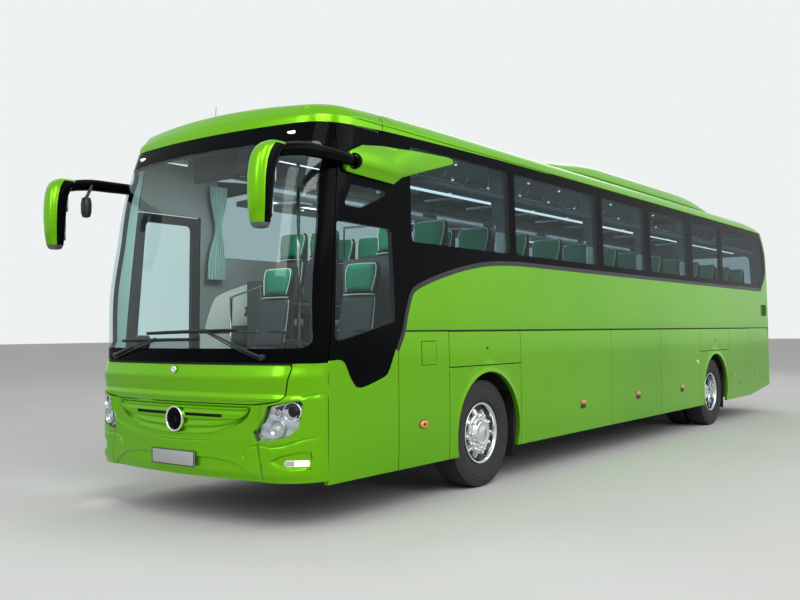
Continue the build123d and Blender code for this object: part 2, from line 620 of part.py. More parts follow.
def door(outline_points, glass, pivot_s):
    """Door leaf with its window, and lugs inside for the levers."""
    layer = joined(within(SHELL, side_prism(outline_points, *OTHER_SIDE_X)),
                   within(panel((0, SKIRT), (LENGTH, SEAM), -1), side_prism(outline_points, *OTHER_SIDE_X)))
    leaf = within(layer, side_prism(outline_points, *OTHER_SIDE_X, grow=-GAP))
    leaf = cut(leaf, side_prism(glass, *OTHER_SIDE_X),
               within(REBATE_LAYER, side_prism(glass, *OTHER_SIDE_X, grow=REBATE + SEAT)),
               within(panel((0, SKIRT), (LENGTH, SEAM), -1), side_prism(glass, *OTHER_SIDE_X, grow=REBATE + SEAT),
                      block((-HALF - 1, station(0), SKIRT), (-HALF + GLASS + SEAT, REAR, SEAM))))
    y = station(pivot_s)
    lugs = []
    for z in LEVER_HEIGHTS:
        low = z + LEVER_THICKNESS / 2 + SEAT
        lugs.append(block((-HALF + WALL - 12, y - 20, low), (-DOOR_PIVOT_X + 22, y + 20, low + 30)))
    leaf = joined(leaf, *lugs)
    pane = joined(within(PANE_LAYER, side_prism(glass, *OTHER_SIDE_X, grow=REBATE)),
                  within(block((-HALF, station(0), SKIRT), (-HALF + GLASS, REAR, SEAM)),
                         side_prism(glass, *OTHER_SIDE_X, grow=REBATE)))
    return leaf, pane


def door_arm(pillar_s, pivot_s):
    """Turning pillar with its levers out to the door's pivots."""
    pillar = (-PILLAR_X, station(pillar_s))
    pivot = (-DOOR_PIVOT_X, station(pivot_s))
    bars = [rod((*pillar, STEP_FLOOR + SEAT), (*pillar, PILLAR_TOP), PILLAR_RADIUS)]
    for z in LEVER_HEIGHTS:
        bars.append(rod((*pillar, z), (*pivot, z), 14.0))
        bars.append(rod((*pivot, z - LEVER_THICKNESS / 2), (*pivot, z + LEVER_THICKNESS / 2), 20.0))
    return joined(*bars)


for word, outline_points, glass, pillar_s, pivot_s in (
        ("front", FRONT_DOOR, FRONT_DOOR_GLASS, FRONT_PILLAR_S, FRONT_PIVOT_S),
        ("mid", MID_DOOR, MID_DOOR_GLASS, MID_PILLAR_S, MID_PIVOT_S)):
    leaf, pane = door(outline_points, glass, pivot_s)
    save(leaf, f"{word}_door")
    save(pane, f"{word}_door_glass")
    save(door_arm(pillar_s, pivot_s), f"{word}_door_arm")

# ---- floors and frame ----------------------------------------------------------------------------
INNER = HALF - WALL         # inner face of the side panels
CLEAR = INNER - 10          # pieces behind flaps stay this near the centre line
FRONT_HOUSE = (FRONT_OVERHANG - 645, FRONT_OVERHANG + 615)
REAR_HOUSE = (FRONT_OVERHANG + WHEELBASE - 620, FRONT_OVERHANG + WHEELBASE + 620)
FRONT_HOUSE_X, REAR_HOUSE_X = 455.0, 540.0
HOUSE_TOP = 1146.0
PLATE_T = 15.0
STEP_PLATE = 20.0
STAIR_FOOT_X = -1060.0      # first riser
FRONT_WELL_X, MID_WELL_X = -700.0, -300.0
DECK_LAP = 50.0             # how far the top step reaches under the deck


def wheelhouse(span, inner_x, side):
    """Open-bottomed box over a wheel, up to the floor."""
    s0, s1 = span
    x = sorted((side * inner_x, side * INNER))
    out = sorted((side * inner_x, side * (inner_x + PLATE_T)))
    head = FLOOR_TOP - FLOOR_THICKNESS - SEAT
    return [slab(s0, s1, *x, HOUSE_TOP - PLATE_T, HOUSE_TOP), slab(s0, s1, *out, 620, HOUSE_TOP),
            slab(s0, s0 + PLATE_T, *x, 400, HOUSE_TOP), slab(s1 - PLATE_T, s1, *x, 400, HOUSE_TOP),
            slab(s0, s0 + PLATE_T, *out, HOUSE_TOP, head), slab(s1 - PLATE_T, s1, *out, HOUSE_TOP, head)]


floor_z = (FLOOR_TOP - FLOOR_THICKNESS, FLOOR_TOP)
decks = [slab(1750, TAIL_SEAM, -CLEAR, CLEAR, *floor_z),
         slab(130, 1750, -CLEAR, CLEAR, DRIVER_FLOOR - FLOOR_THICKNESS, DRIVER_FLOOR),
         slab(1750, 1765, -CLEAR, CLEAR, DRIVER_FLOOR - FLOOR_THICKNESS, floor_z[0] - SEAT)]
decks += [slab(1750, TAIL_SEAM, x, x + 60, FLOOR_TOP + SEAT, 1595) for x in (-INNER, INNER - 60)]


def stairs(span, landing_x, count, head, tread):
    """Landing behind a door with steps rising inwards to the underside of a deck."""
    rise = (head - SEAT - STEP_FLOOR) / count
    span = (span[0] + GAP, span[1] - GAP)
    steps = [slab(*span, -CLEAR, landing_x, STEP_FLOOR - STEP_PLATE, STEP_FLOOR)]
    for step in range(count):
        steps.append(slab(*span, STAIR_FOOT_X + tread * step, landing_x + DECK_LAP, STEP_FLOOR + rise * step,
                          STEP_FLOOR + rise * (step + 1)))
    return steps


houses = []
for side in (1, -1):
    houses += wheelhouse(FRONT_HOUSE, FRONT_HOUSE_X, side) + wheelhouse(REAR_HOUSE, REAR_HOUSE_X, side)
deck = cut(joined(*decks),
           slab(CAP_SEAM, DOOR_REAR, -CLEAR - 1, FRONT_WELL_X, DRIVER_FLOOR - FLOOR_THICKNESS - 1, DRIVER_FLOOR + 1),
           slab(MID_DOOR_FRONT, MID_DOOR_REAR, -CLEAR - 1, MID_WELL_X, floor_z[0] - 1, floor_z[1] + 1))
front_stairs = stairs((CAP_SEAM, DOOR_REAR), FRONT_WELL_X, 3, DRIVER_FLOOR - FLOOR_THICKNESS, 180.0)
mid_stairs = stairs((MID_DOOR_FRONT, MID_DOOR_REAR), MID_WELL_X, 4, FLOOR_TOP - FLOOR_THICKNESS, 190.0)
inside = joined(CABIN, drum(SKIRT, SEAM, WALL + SEAT))
deck = within(joined(deck, *houses, *front_stairs, *mid_stairs), inside)
save(deck, "floor_deck")

# ---- chassis -------------------------------------------------------------------------------------
RAIL_X = (340.0, 420.0)
RAIL_Z = (720.0, 860.0)
AIR_SPRING_RADIUS = 110.0
KINGPIN_RADIUS = 34.0
SPINDLE_RADIUS = 45.0
BULKHEAD = 25.0
BAY = (ARCH_REAR - 9, REAR_ARCH_FRONT + 20)     # outer faces of the luggage bay's bulkheads
rails = []
for side in (1, -1):
    x = sorted(side * v for v in RAIL_X)
    rails.append(slab(140, BAY[0] - SEAT, *x, *RAIL_Z))
    rails.append(slab(BAY[1] + SEAT, TAIL_SEAM - 5, *x, *RAIL_Z))
    rails.append(slab(130, BAY[0] - SEAT, *x, RAIL_Z[1], DRIVER_FLOOR - FLOOR_THICKNESS))
cross = [slab(s, s + 60, -RAIL_X[0] - 10, RAIL_X[0] + 10, *RAIL_Z) for s in (300, 1500, 2100, 3300, 9050, 10300, 12650)]
bay = [slab(BAY[0] + BULKHEAD + SEAT, BAY[1] - BULKHEAD - SEAT, -CLEAR, CLEAR, 365, 395),
       slab(BAY[0], BAY[0] + BULKHEAD, -CLEAR + 60, CLEAR - 60, 365, FLOOR_TOP - FLOOR_THICKNESS),
       slab(BAY[1] - BULKHEAD, BAY[1], -CLEAR + 60, CLEAR - 60, 365, FLOOR_TOP - FLOOR_THICKNESS)]
frame = joined(*rails, *cross, *bay)
well = slab(MID_DOOR_FRONT, MID_DOOR_REAR, -CLEAR - 1, MID_WELL_X, STEP_FLOOR - STEP_PLATE - 1, STEP_FLOOR)
save(cut(frame, well), "chassis_frame")


def cross_rod(x0, x1, s, z, radius):
    return rod((x0, station(s), z), (x1, station(s), z), radius)


def upright(x, s, z0, z1, radius):
    return rod((x, station(s), z0), (x, station(s), z1), radius)


AXLE_EYE = 46.0
BEAM_Z = (385.0, 465.0)
front_axle = [slab(FRONT_OVERHANG - 45, FRONT_OVERHANG + 45, -KINGPIN_X, KINGPIN_X, *BEAM_Z)]
for side in (1, -1):
    x = side * KINGPIN_X
    front_axle.append(upright(x, FRONT_OVERHANG, *BEAM_Z, AXLE_EYE))
    front_axle.append(upright(side * 380, FRONT_OVERHANG, BEAM_Z[1], RAIL_Z[0], 60.0))
front_axle = cut(joined(*front_axle), *[upright(s * KINGPIN_X, FRONT_OVERHANG, BEAM_Z[0] - 5, BEAM_Z[1] + 5, KINGPIN_RADIUS + SEAT) for s in (1, -1)])
save(front_axle, "front_axle")


def knuckle(side):
    """Kingpin with the stub axle and the brake's backing plate."""
    x = side * KINGPIN_X
    pin = upright(x, FRONT_OVERHANG, BEAM_Z[0] - 10, TYRE_RADIUS + 30, KINGPIN_RADIUS)
    upper = slab(FRONT_OVERHANG - 45, FRONT_OVERHANG + 45, *sorted((x - side * 20, x + side * 75)), BEAM_Z[1] + SEAT, TYRE_RADIUS + 60)
    stub = cross_rod(x, side * (FRONT_TRACK_HALF + 100), FRONT_OVERHANG, TYRE_RADIUS, SPINDLE_RADIUS)
    plate = cross_rod(side * (FRONT_TRACK_HALF - 85), side * (FRONT_TRACK_HALF - 70), FRONT_OVERHANG, TYRE_RADIUS, 200)
    return joined(pin, upper, stub, plate)


save(knuckle(1), "left_knuckle")
save(knuckle(-1), "right_knuckle")


def turned(points, x, s, side):
    """Body turned about a wheel's axle from a half section of (offset outwards, radius)."""
    with BuildPart() as body:
        with BuildSketch(Plane(origin=(x, station(s), TYRE_RADIUS), x_dir=(side, 0, 0), z_dir=(0, -side, 0))):
            with BuildLine():
                Polyline(*points, close=True)
            make_face()
        revolve(axis=Axis((x, station(s), TYRE_RADIUS), (1, 0, 0)))
    return body.part


# half sections: offset outwards from the wheel's middle plane, radius
STUD_CIRCLE, STUD_RADIUS, STUD_COUNT, STUD_LENGTH = 335.0, 11.0, 10, 34.0
HW, RW = TYRE_WIDTH / 2, RIM_WIDTH / 2
TYRE_SECTION = ((-RW + 2, BEAD_RADIUS + SEAT), (-RW - 2, RIM_FLANGE + 14), (-HW, 400), (-HW + 3, 460), (-HW + 14, 502),
                (-HW + 26, 514), (-60, 520), (0, TYRE_RADIUS), (60, 520), (HW - 26, 514), (HW - 14, 502), (HW - 3, 460),
                (HW, 400), (RW + 2, RIM_FLANGE + 14), (RW - 2, BEAD_RADIUS + SEAT))
BARREL = 14.0


def rim_section(dish, hub_end, bore, inner_end):
    """Rim barrel with its flanges, a disc at the dish offset and a hub around the bore."""
    return ((-RW - 12, RIM_FLANGE), (-RW - 4, RIM_FLANGE), (-RW, BEAD_RADIUS), (RW, BEAD_RADIUS), (RW + 4, RIM_FLANGE),
            (RW + 12, RIM_FLANGE), (RW + 8, BEAD_RADIUS - BARREL), (dish + 8, BEAD_RADIUS - BARREL - 6), (dish, 235),
            (dish, 150), (dish + 6, 135), (hub_end, 125), (hub_end, bore), (inner_end, bore), (inner_end, 120),
            (dish - 26, 130), (dish - 22, 235), (dish - 16, BEAD_RADIUS - BARREL - 14), (-RW - 8, BEAD_RADIUS - BARREL))


def studs(x, s, face, side):
    """Wheel studs standing out of a disc."""
    bars = []
    for number in range(STUD_COUNT):
        angle = radians(360 / STUD_COUNT * number)
        y, z = station(s) + STUD_CIRCLE / 2 * cos(angle), TYRE_RADIUS + STUD_CIRCLE / 2 * sin(angle)
        bars.append(rod((x + side * (face - 6), y, z), (x + side * (face + STUD_LENGTH), y, z), STUD_RADIUS))
    return bars


FRONT_DISH = 96.0
for side, word in ((1, "left"), (-1, "right")):
    x = side * FRONT_TRACK_HALF
    rim = turned(rim_section(FRONT_DISH, 150.0, SPINDLE_RADIUS + SEAT, 20.0), x, FRONT_OVERHANG, side)
    if side > 0:            # the stated wheel mount; the other wheel's bolts are trim
        rim = joined(rim, *studs(x, FRONT_OVERHANG, FRONT_DISH, side))
    save(rim, f"front_{word}_rim")
    save(turned(TYRE_SECTION, x, FRONT_OVERHANG, side), f"front_{word}_tyre")

REAR_SPINDLE = 60.0
REAR_S = FRONT_OVERHANG + WHEELBASE
DUAL = REAR_OUTER_HALF - REAR_INNER_HALF
for side, word in ((1, "left"), (-1, "right")):
    x0, x1 = side * REAR_OUTER_HALF, side * REAR_INNER_HALF
    outer = turned(rim_section(-60.0, 60.0, REAR_SPINDLE + SEAT, -DUAL / 2 - 10), x0, REAR_S, side)
    inner = turned(rim_section(60.0 - 26, DUAL / 2 - 10, REAR_SPINDLE + SEAT, 0.0), x1, REAR_S, side)
    save(joined(outer, inner), f"rear_{word}_rims")
    save(joined(turned(TYRE_SECTION, x0, REAR_S, side), turned(TYRE_SECTION, x1, REAR_S, side)), f"rear_{word}_tyres")

rear_axle = [cross_rod(-REAR_INNER_HALF + 90, REAR_INNER_HALF - 90, REAR_S, TYRE_RADIUS, 85),
             cross_rod(-REAR_OUTER_HALF - 40, REAR_OUTER_HALF + 40, REAR_S, TYRE_RADIUS, REAR_SPINDLE),
             cross_rod(-150, 150, REAR_S, TYRE_RADIUS, 205)]
for side in (1, -1):
    rear_axle.append(upright(side * 380, REAR_S, TYRE_RADIUS + 40, RAIL_Z[0], 60.0))
save(joined(*rear_axle), "rear_axle")

ENGINE = ((10900.0, 12620.0), 400.0, (430.0, RAIL_Z[0]), (RAIL_Z[0], 1300.0))
engine = joined(slab(*ENGINE[0], -ENGINE[1], ENGINE[1], *ENGINE[2]), slab(*ENGINE[0], -RAIL_X[0] + 5, RAIL_X[0] - 5, *ENGINE[3]))
save(engine, "engine_block")

# ---- inside --------------------------------------------------------------------------------------
SEAT_PITCH = 800.0
SEAT_WIDTH = 440.0
SEAT_ROWS = 13
FIRST_SEAT = 2250.0
SEAT_SIDE_X = 1120.0
# side view of a seat, from the cushion's front edge: offset rearwards, height over the floor
SEAT_CUSHION = ((0, 330), (20, 430), (400 - SEAT, 440), (427.5 - SEAT, 330))
SEAT_BACK = ((400, 440), (525, 1100), (565, 1225), (640, 1225), (615, 950), (520, 380), (430, 320))


def seat(front_s, x0, x1, floor):
    """Bench or chair: pedestal, cushion and back."""
    leg = slab(front_s + 120, front_s + 400, x0 + 60, x1 - 60, floor, floor + 330 - SEAT)
    shapes = [side_prism([(front_s + s, floor + z) for s, z in shape], x0, x1) for shape in (SEAT_CUSHION, SEAT_BACK)]
    return joined(leg, *shapes)


seats = []
for row in range(SEAT_ROWS):
    front_s = FIRST_SEAT + SEAT_PITCH * row - 600
    seats.append(seat(front_s + 150, SEAT_SIDE_X - 2 * SEAT_WIDTH, SEAT_SIDE_X, FLOOR_TOP))
    if not MID_DOOR_FRONT - 700 < front_s < MID_DOOR_REAR:
        seats.append(seat(front_s + 150, -SEAT_SIDE_X, -SEAT_SIDE_X + 2 * SEAT_WIDTH, FLOOR_TOP))
seats += [seat(1000, 480, 930, DRIVER_FLOOR), seat(1010, -560, -140, DRIVER_FLOOR)]
save(joined(*seats), "seats")

dash_profile = ((130, DRIVER_FLOOR), (130, 1290), (420, 1330), (700, 1270), (720, 1180), (560, 1100), (480, DRIVER_FLOOR))
dashboard = within(side_prism(dash_profile, -560, HALF - WALL - 8),
                   joined(CABIN, drum(DRIVER_FLOOR - 100, SEAM + 0.5, WALL + SEAT)))
DRIVER_X = 705.0
COLUMN_TOP = (DRIVER_X, station(800), 1290.0)
COLUMN_FOOT = (DRIVER_X, station(640), 1080.0)
dashboard = joined(dashboard, rod(COLUMN_FOOT, COLUMN_TOP, 28))
save(dashboard, "dashboard")
STEER_AXIS = (Vector(COLUMN_TOP) - Vector(COLUMN_FOOT)).normalized()
STEER_CENTRE = Vector(COLUMN_TOP) + STEER_AXIS * (SEAT + 30)
with BuildPart() as steering_wheel:
    wheel_plane = Plane(origin=STEER_CENTRE, x_dir=(1, 0, 0), z_dir=STEER_AXIS)
    with BuildSketch(wheel_plane.offset(-30)):
        Circle(60)
    extrude(amount=45)
    with BuildSketch(wheel_plane.offset(-8)):
        Circle(236)
        Circle(206, mode=Mode.SUBTRACT)
        for angle in (0, 120, 240):
            with PolarLocations(0, 1, start_angle=angle - 90):
                with Locations((135, 0)):
                    Rectangle(160, 40)
    extrude(amount=26)
save(steering_wheel.part, "steering_wheel")

RACK = ((1240, 2840), (860, 2900), (800, 2960), (810, 2990), (900, 2950), (1240, 2890))
rack = within(front_prism(RACK, station(1800), station(12200)), CABIN)
save(joined(rack, flipped(rack)), "luggage_racks")

# ---- outside fittings ----------------------------------------------------------------------------
FAIRING = ((678, 2958), (866, 3040), (1119, 3075), (2200, 3120), (2200, 3061), (1385, 2825), (1290, 2757), (640, 2785))
fairing = cut(side_prism(FAIRING, HALF - 140, HALF + 75), SKIN_CLEAR)
arm = [rod((1330, station(700), 2880), (1330, station(330), 2880), 50.0),
       rod((1330, station(330), 2880), (1318, station(-20), 2850), 50.0)]
head = front_prism(((1180, 2320), (1300, 2260), (1345, 2330), (1345, 2830), (1290, 2890), (1200, 2860)), station(-MIRROR_REACH), station(-MIRROR_REACH + 170))
bridge = rod((1318, station(-20), 2850), (1270, station(-MIRROR_REACH + 100), 2800), 45.0)
mirror_left = joined(fairing, *arm, head, bridge)
save(joined(mirror_left, flipped(mirror_left)), "mirrors")

WIPER_Z = 1335.0
BLADE_RADIUS = 9.0
# columns: pivot X, X where the arm meets the blade, blade from X, blade to X, blade height
WIPERS = ((905.0, 372.0, -399.0, 621.0, 1545.0), (-905.0, -250.0, -804.0, 233.0, 1468.0))
wipers = []
for pivot_x, arm_x, blade_from, blade_to, blade_z in WIPERS:
    spindle = rod((pivot_x, station(118), WIPER_Z), (pivot_x, station(60), WIPER_Z), 16.0)
    wipers.append(cut(spindle, SKIN_CLEAR))
    wipers.append(rod((pivot_x, station(76), WIPER_Z), (arm_x, station(8), blade_z), BLADE_RADIUS))
    wipers.append(rod((blade_from, station(12), blade_z), (blade_to, station(12), blade_z), BLADE_RADIUS))
save(joined(*wipers), "wipers")

FLAP_RUBBER = 8.0
MUD_FLAP_Z = (230.0, 900.0)
mud_flaps = []
for house, inner_x in ((FRONT_HOUSE, 900.0), (REAR_HOUSE, 580.0)):
    for side in (1, -1):
        face = house[1] - PLATE_T - SEAT
        mud_flaps.append(slab(face - FLAP_RUBBER, face, *sorted((side * inner_x, side * 1190.0)), *MUD_FLAP_Z))
save(joined(*mud_flaps), "mud_flaps")
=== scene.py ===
"""Looks of the touring coach: smooth skins, glass, lamps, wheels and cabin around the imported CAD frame."""
import math
import random

import bmesh
import bpy
import numpy as np
from mathutils import Matrix, Vector
from mathutils.geometry import delaunay_2d_cdt


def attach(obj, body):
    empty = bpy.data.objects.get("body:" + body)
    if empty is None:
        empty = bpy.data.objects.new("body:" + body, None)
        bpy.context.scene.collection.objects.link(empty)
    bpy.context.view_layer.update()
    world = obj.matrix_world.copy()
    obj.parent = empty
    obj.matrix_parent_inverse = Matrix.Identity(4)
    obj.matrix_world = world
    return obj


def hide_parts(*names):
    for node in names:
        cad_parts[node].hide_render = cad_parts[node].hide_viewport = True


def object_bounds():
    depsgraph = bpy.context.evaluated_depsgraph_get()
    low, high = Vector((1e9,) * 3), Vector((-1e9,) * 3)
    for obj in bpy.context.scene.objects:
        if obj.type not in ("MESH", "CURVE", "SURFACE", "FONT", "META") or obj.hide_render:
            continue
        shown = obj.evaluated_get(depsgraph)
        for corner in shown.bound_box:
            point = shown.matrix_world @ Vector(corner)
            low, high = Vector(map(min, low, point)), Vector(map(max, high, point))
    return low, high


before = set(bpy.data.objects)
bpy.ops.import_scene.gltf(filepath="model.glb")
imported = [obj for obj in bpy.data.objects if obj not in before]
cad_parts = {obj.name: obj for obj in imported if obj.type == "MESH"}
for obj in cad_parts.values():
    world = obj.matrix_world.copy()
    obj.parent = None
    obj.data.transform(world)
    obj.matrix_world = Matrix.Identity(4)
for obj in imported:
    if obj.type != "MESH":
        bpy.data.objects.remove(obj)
CAD_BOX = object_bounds()

# ---- driving dimensions, in metres ------------------------------------------------------------------
LENGTH, MIRROR_REACH = 13.115, 0.363
FRONT = -(LENGTH - MIRROR_REACH) / 2
REAR = FRONT + LENGTH
HALF = 1.275
SKIRT, SEAM, BELT, BAND, EAVES, CROWN = 0.353, 1.285, 1.521, 2.230, 3.248, 3.455
VISOR_FOOT, VISOR_SEAM, MASK_FOOT = 3.185, 1.190, 1.291
GAP, CAP_SEAM, TAIL_SEAM, SEAM_LEAN = 0.008, 0.438, 12.785, 0.095
NOSE, TAIL = (5.2, 0.34), (9.0, 0.28)       # radius of each end's crown in plan, and of its corners
NOSE_EAVES, TAIL_EAVES = 0.374, 0.262       # how far each end leans in at the eaves
FRONT_AXLE, REAR_AXLE, TYRE_RADIUS, ARCH_RADIUS = 2.820, 9.730, 0.522, 0.58
FLOOR_TOP, DRIVER_FLOOR = 1.370, 0.930
LEFT, RIGHT = 1, -1
WORD = {LEFT: "left", RIGHT: "right"}

# heights with the upper body's half width, front setback and rear setback
HULL = np.array((
    (1.285, 1.275, 0.038, 0.0), (1.600, 1.275, 0.040, 0.0), (1.790, 1.272, 0.043, 0.0), (2.350, 1.262, 0.124, 0.0),
    (2.735, 1.253, 0.192, 0.012), (2.983, 1.246, 0.277, 0.075), (3.200, 1.239, 0.354, 0.215),
    (3.248, 1.238, 0.374, 0.262)))


def station(distance):
    """Y of a distance measured rearwards from the bumper's face."""
    return FRONT + distance


def smooth_line(table, column=1):
    """Monotone cubic through one column of a table, as a function of its first column."""
    table = np.array(table, float)
    xs, ys = table[:, 0], table[:, column]
    chords = np.diff(ys) / np.diff(xs)
    slopes = np.zeros(len(xs))
    slopes[1:-1] = np.where(chords[1:] * chords[:-1] > 0,
                            2 * chords[1:] * chords[:-1] / (chords[1:] + chords[:-1] + 1e-12), 0.0)
    slopes[0], slopes[-1] = chords[0], chords[-1]

    def value(x):
        x = np.clip(np.asarray(x, float), xs[0], xs[-1])
        i = np.clip(np.searchsorted(xs, x, side="right") - 1, 0, len(xs) - 2)
        h = xs[i + 1] - xs[i]
        t = (x - xs[i]) / h
        return ((1 + 2 * t) * (1 - t) ** 2 * ys[i] + t * (1 - t) ** 2 * h * slopes[i]
                + t * t * (3 - 2 * t) * ys[i + 1] + t * t * (t - 1) * h * slopes[i + 1])
    return value


half_at, front_at, rear_at = (smooth_line(HULL, column) for column in (1, 2, 3))


def plan_arc(half, shape):
    """Turn of a crowned end, its corner's centre in X and its arc lengths."""
    radius, corner = shape
    turn = np.arcsin((half - corner) / (radius - corner))
    return turn, half - corner, radius * turn, corner * (math.pi / 2 - turn)


def wrap_plan(t, half, end, shape=NOSE):
    """X and distance from the end's plane of a plan outline's point at arc length t from the centre line."""
    radius, corner = shape
    turn, centre, nose, bend = plan_arc(half, shape)
    side, t = np.sign(t), np.abs(t)
    depth = radius - (radius - corner) * np.cos(turn)
    angle = turn + np.clip(t - nose, 0, bend) / corner
    x = np.where(t <= nose, radius * np.sin(t / radius), centre + corner * np.sin(angle))
    back = np.where(t <= nose, radius - radius * np.cos(t / radius), depth - corner * np.cos(angle))
    return side * x, end + (back + np.clip(t - nose - bend, 0, None))


def wrap_t(x, half=HALF, shape=NOSE):
    """Arc length at which the outline reaches X, on the end or its corner."""
    radius, corner = shape
    turn, centre, nose, _ = plan_arc(half, shape)
    side, x = math.copysign(1, x), abs(x)
    if x <= radius * math.sin(turn):
        return side * radius * math.asin(x / radius)
    return side * (nose + corner * (math.asin(min((x - centre) / corner, 1.0)) - turn))


def side_x(y, z):
    """Half width of the body at a Y and height, with its rounded corners."""
    half = half_at(z)
    out = half
    for inward, (radius, corner) in ((y - (FRONT + front_at(z)), NOSE), ((REAR - rear_at(z)) - y, TAIL)):
        turn = np.arcsin((half - corner) / (radius - corner))
        depth = radius - (radius - corner) * np.cos(turn)
        short = np.clip(depth - inward, 0, corner * 0.999)
        out = np.minimum(out, half - corner + np.sqrt(corner ** 2 - short ** 2))
    return out


def front_face(relief=None, lower=False):
    """Surface of the front in (arc length, height)."""
    def place(uv):
        t, z = uv[:, 0], uv[:, 1]
        x, y = wrap_plan(t, np.full_like(z, HALF) if lower else half_at(z), FRONT + (0.0 if lower else front_at(z)))
        return np.stack((x, y if relief is None else y + relief(t, z), z), 1)
    return place


TUCK_HEIGHT, TUCK = 0.75, 0.012


def side_face(side, relief=None):
    """Surface of one side in (station, height), tucked in a little at its foot."""
    def place(uv):
        y, z = FRONT + uv[:, 0], uv[:, 1]
        x = side_x(y, np.maximum(z, SEAM)) - TUCK * (np.clip(TUCK_HEIGHT - z, 0, None) / (TUCK_HEIGHT - SKIRT)) ** 2
        if relief is not None:
            x = x - relief(uv[:, 0], z)
        return np.stack((side * x, y, z), 1)
    return place


# ---- roof's surface ---------------------------------------------------------------------------------
ROOF_RISE, ROOF_CORNER, CROWN_RADIUS, ROOF_HALF, ROOF_BEND = CROWN - EAVES, 0.143, 9.54, 1.238, 0.126
# share of the roof's rise, by the distance in from its front and rear edges
BROW = smooth_line(((0, 0), (.012, .17), (.031, .32), (.081, .62), (.186, .765), (.5, .87), (.926, .945), (1.678, 1),
                    (20, 1)))
FALL = smooth_line(((0, 0), (.03, .17), (.1, .36), (.2, .52), (.36, .70), (.538, .83), (.85, .95), (1.238, 1), (20, 1)))


def end_line(x, end, shape):
    """Distance of a crowned end's outline at X, for the eaves' half width."""
    radius, corner = shape
    turn = math.asin((ROOF_HALF - corner) / (radius - corner))
    depth = radius - (radius - corner) * math.cos(turn)
    bend = np.sqrt(np.clip(corner ** 2 - np.clip(x - (ROOF_HALF - corner), 0, corner) ** 2, 0, None))
    return end + np.where(x <= radius * math.sin(turn), radius - np.sqrt(radius ** 2 - x ** 2), depth - bend)


def roof_height(x, y):
    """Height of the roof skin over a plan point."""
    edge = side_x(y, np.full_like(x, EAVES))
    inset = np.clip(ROOF_HALF - np.abs(x) * ROOF_HALF / np.maximum(edge, 0.05), 0, ROOF_HALF)
    bend = np.sqrt(np.clip(ROOF_CORNER ** 2 - (ROOF_CORNER - np.minimum(inset, ROOF_CORNER)) ** 2, 0, None))
    crown = ROOF_RISE - (CROWN_RADIUS - np.sqrt(CROWN_RADIUS ** 2 - x ** 2))
    rise = np.where(inset < ROOF_BEND, bend, np.maximum(crown, 0))
    x = np.abs(x)
    brow = BROW(y - end_line(x, FRONT + NOSE_EAVES, NOSE))
    return EAVES + rise * brow * FALL(REAR - end_line(x, TAIL_EAVES, TAIL) - y)


def roof_face(uv):
    """Surface of the roof in (X, station)."""
    x, y = uv[:, 0], FRONT + uv[:, 1]
    return np.stack((x, y, roof_height(x, y)), 1)


def roof_z(x, s):
    return float(roof_height(np.array([x]), np.array([station(s)]))[0])


# ---- outlines ---------------------------------------------------------------------------------------
def rounded(points, radius, steps=6):
    """Closed outline with rounded corners. A point may carry its own radius as a third value."""
    out = []
    count = len(points)
    for i, point in enumerate(points):
        p = np.array(point[:2], float)
        own = point[2] if len(point) > 2 else radius
        a, b = np.array(points[i - 1][:2], float) - p, np.array(points[(i + 1) % count][:2], float) - p
        la, lb = np.linalg.norm(a), np.linalg.norm(b)
        a, b = a / la, b / lb
        angle = math.acos(max(-1.0, min(1.0, float(a @ b))))
        if own <= 0 or angle > math.radians(176):
            out.append(p)
            continue
        reach = min(own / max(math.tan(angle / 2), 1e-6), 0.48 * la, 0.48 * lb)
        own = reach * math.tan(angle / 2)
        centre = p + (a + b) / np.linalg.norm(a + b) * own / math.sin(angle / 2)
        start, end = p + a * reach - centre, p + b * reach - centre
        a0, a1 = math.atan2(start[1], start[0]), math.atan2(end[1], end[0])
        sweep = (a1 - a0 + math.pi) % (2 * math.pi) - math.pi
        turns = [a0 + sweep * k / steps for k in range(steps + 1)]
        out += [centre + own * np.array((math.cos(turn), math.sin(turn))) for turn in turns]
    return np.array(out)


def circle(centre, radius, steps):
    turns = np.linspace(0, 2 * math.pi, steps, endpoint=False)
    return np.stack((centre[0] + radius * np.cos(turns), centre[1] + radius * np.sin(turns)), 1)


def four(u0, v0, u1, v1):
    return ((u0, v0), (u1, v0), (u1, v1), (u0, v1))


def rectangle(u0, v0, u1, v1, radius=0.006):
    return rounded(four(u0, v0, u1, v1), radius)


def mirrored(points):
    return [(-p[0], *p[1:]) for p in reversed(points)]


def closed(run):
    return np.vstack((run, run[:1]))


def turned_ccw(points):
    points = np.asarray(points, float)
    u, v = points[:, 0], points[:, 1]
    return points if np.sum(u * np.roll(v, -1) - np.roll(u, -1) * v) > 0 else points[::-1]


def resampled(points, cell):
    """Closed outline with no edge longer than a cell, and no doubled points."""
    out = []
    for a, b in zip(points, np.roll(points, -1, axis=0)):
        length = np.linalg.norm(b - a)
        if length >= 1e-5:
            count = max(1, math.ceil(length / cell))
            out += [a + (b - a) * k / count for k in range(count)]
    return np.array(out)


def left_normals(points):
    """Normals on the left of a closed outline, at its points, stretched to keep an inset's width."""
    forward = np.roll(points, -1, axis=0) - points
    forward /= np.linalg.norm(forward, axis=1)[:, None]
    bisect = forward + np.roll(forward, 1, axis=0)
    bisect /= np.maximum(np.linalg.norm(bisect, axis=1), 1e-6)[:, None]
    stretch = np.clip((bisect * forward).sum(1), 0.5, 1)
    return np.stack((-bisect[:, 1], bisect[:, 0]), 1) / stretch[:, None]


def offset_outline(points, grow):
    """Outline grown outwards by a distance."""
    points = turned_ccw([p[:2] for p in points])
    return points - grow * left_normals(points)


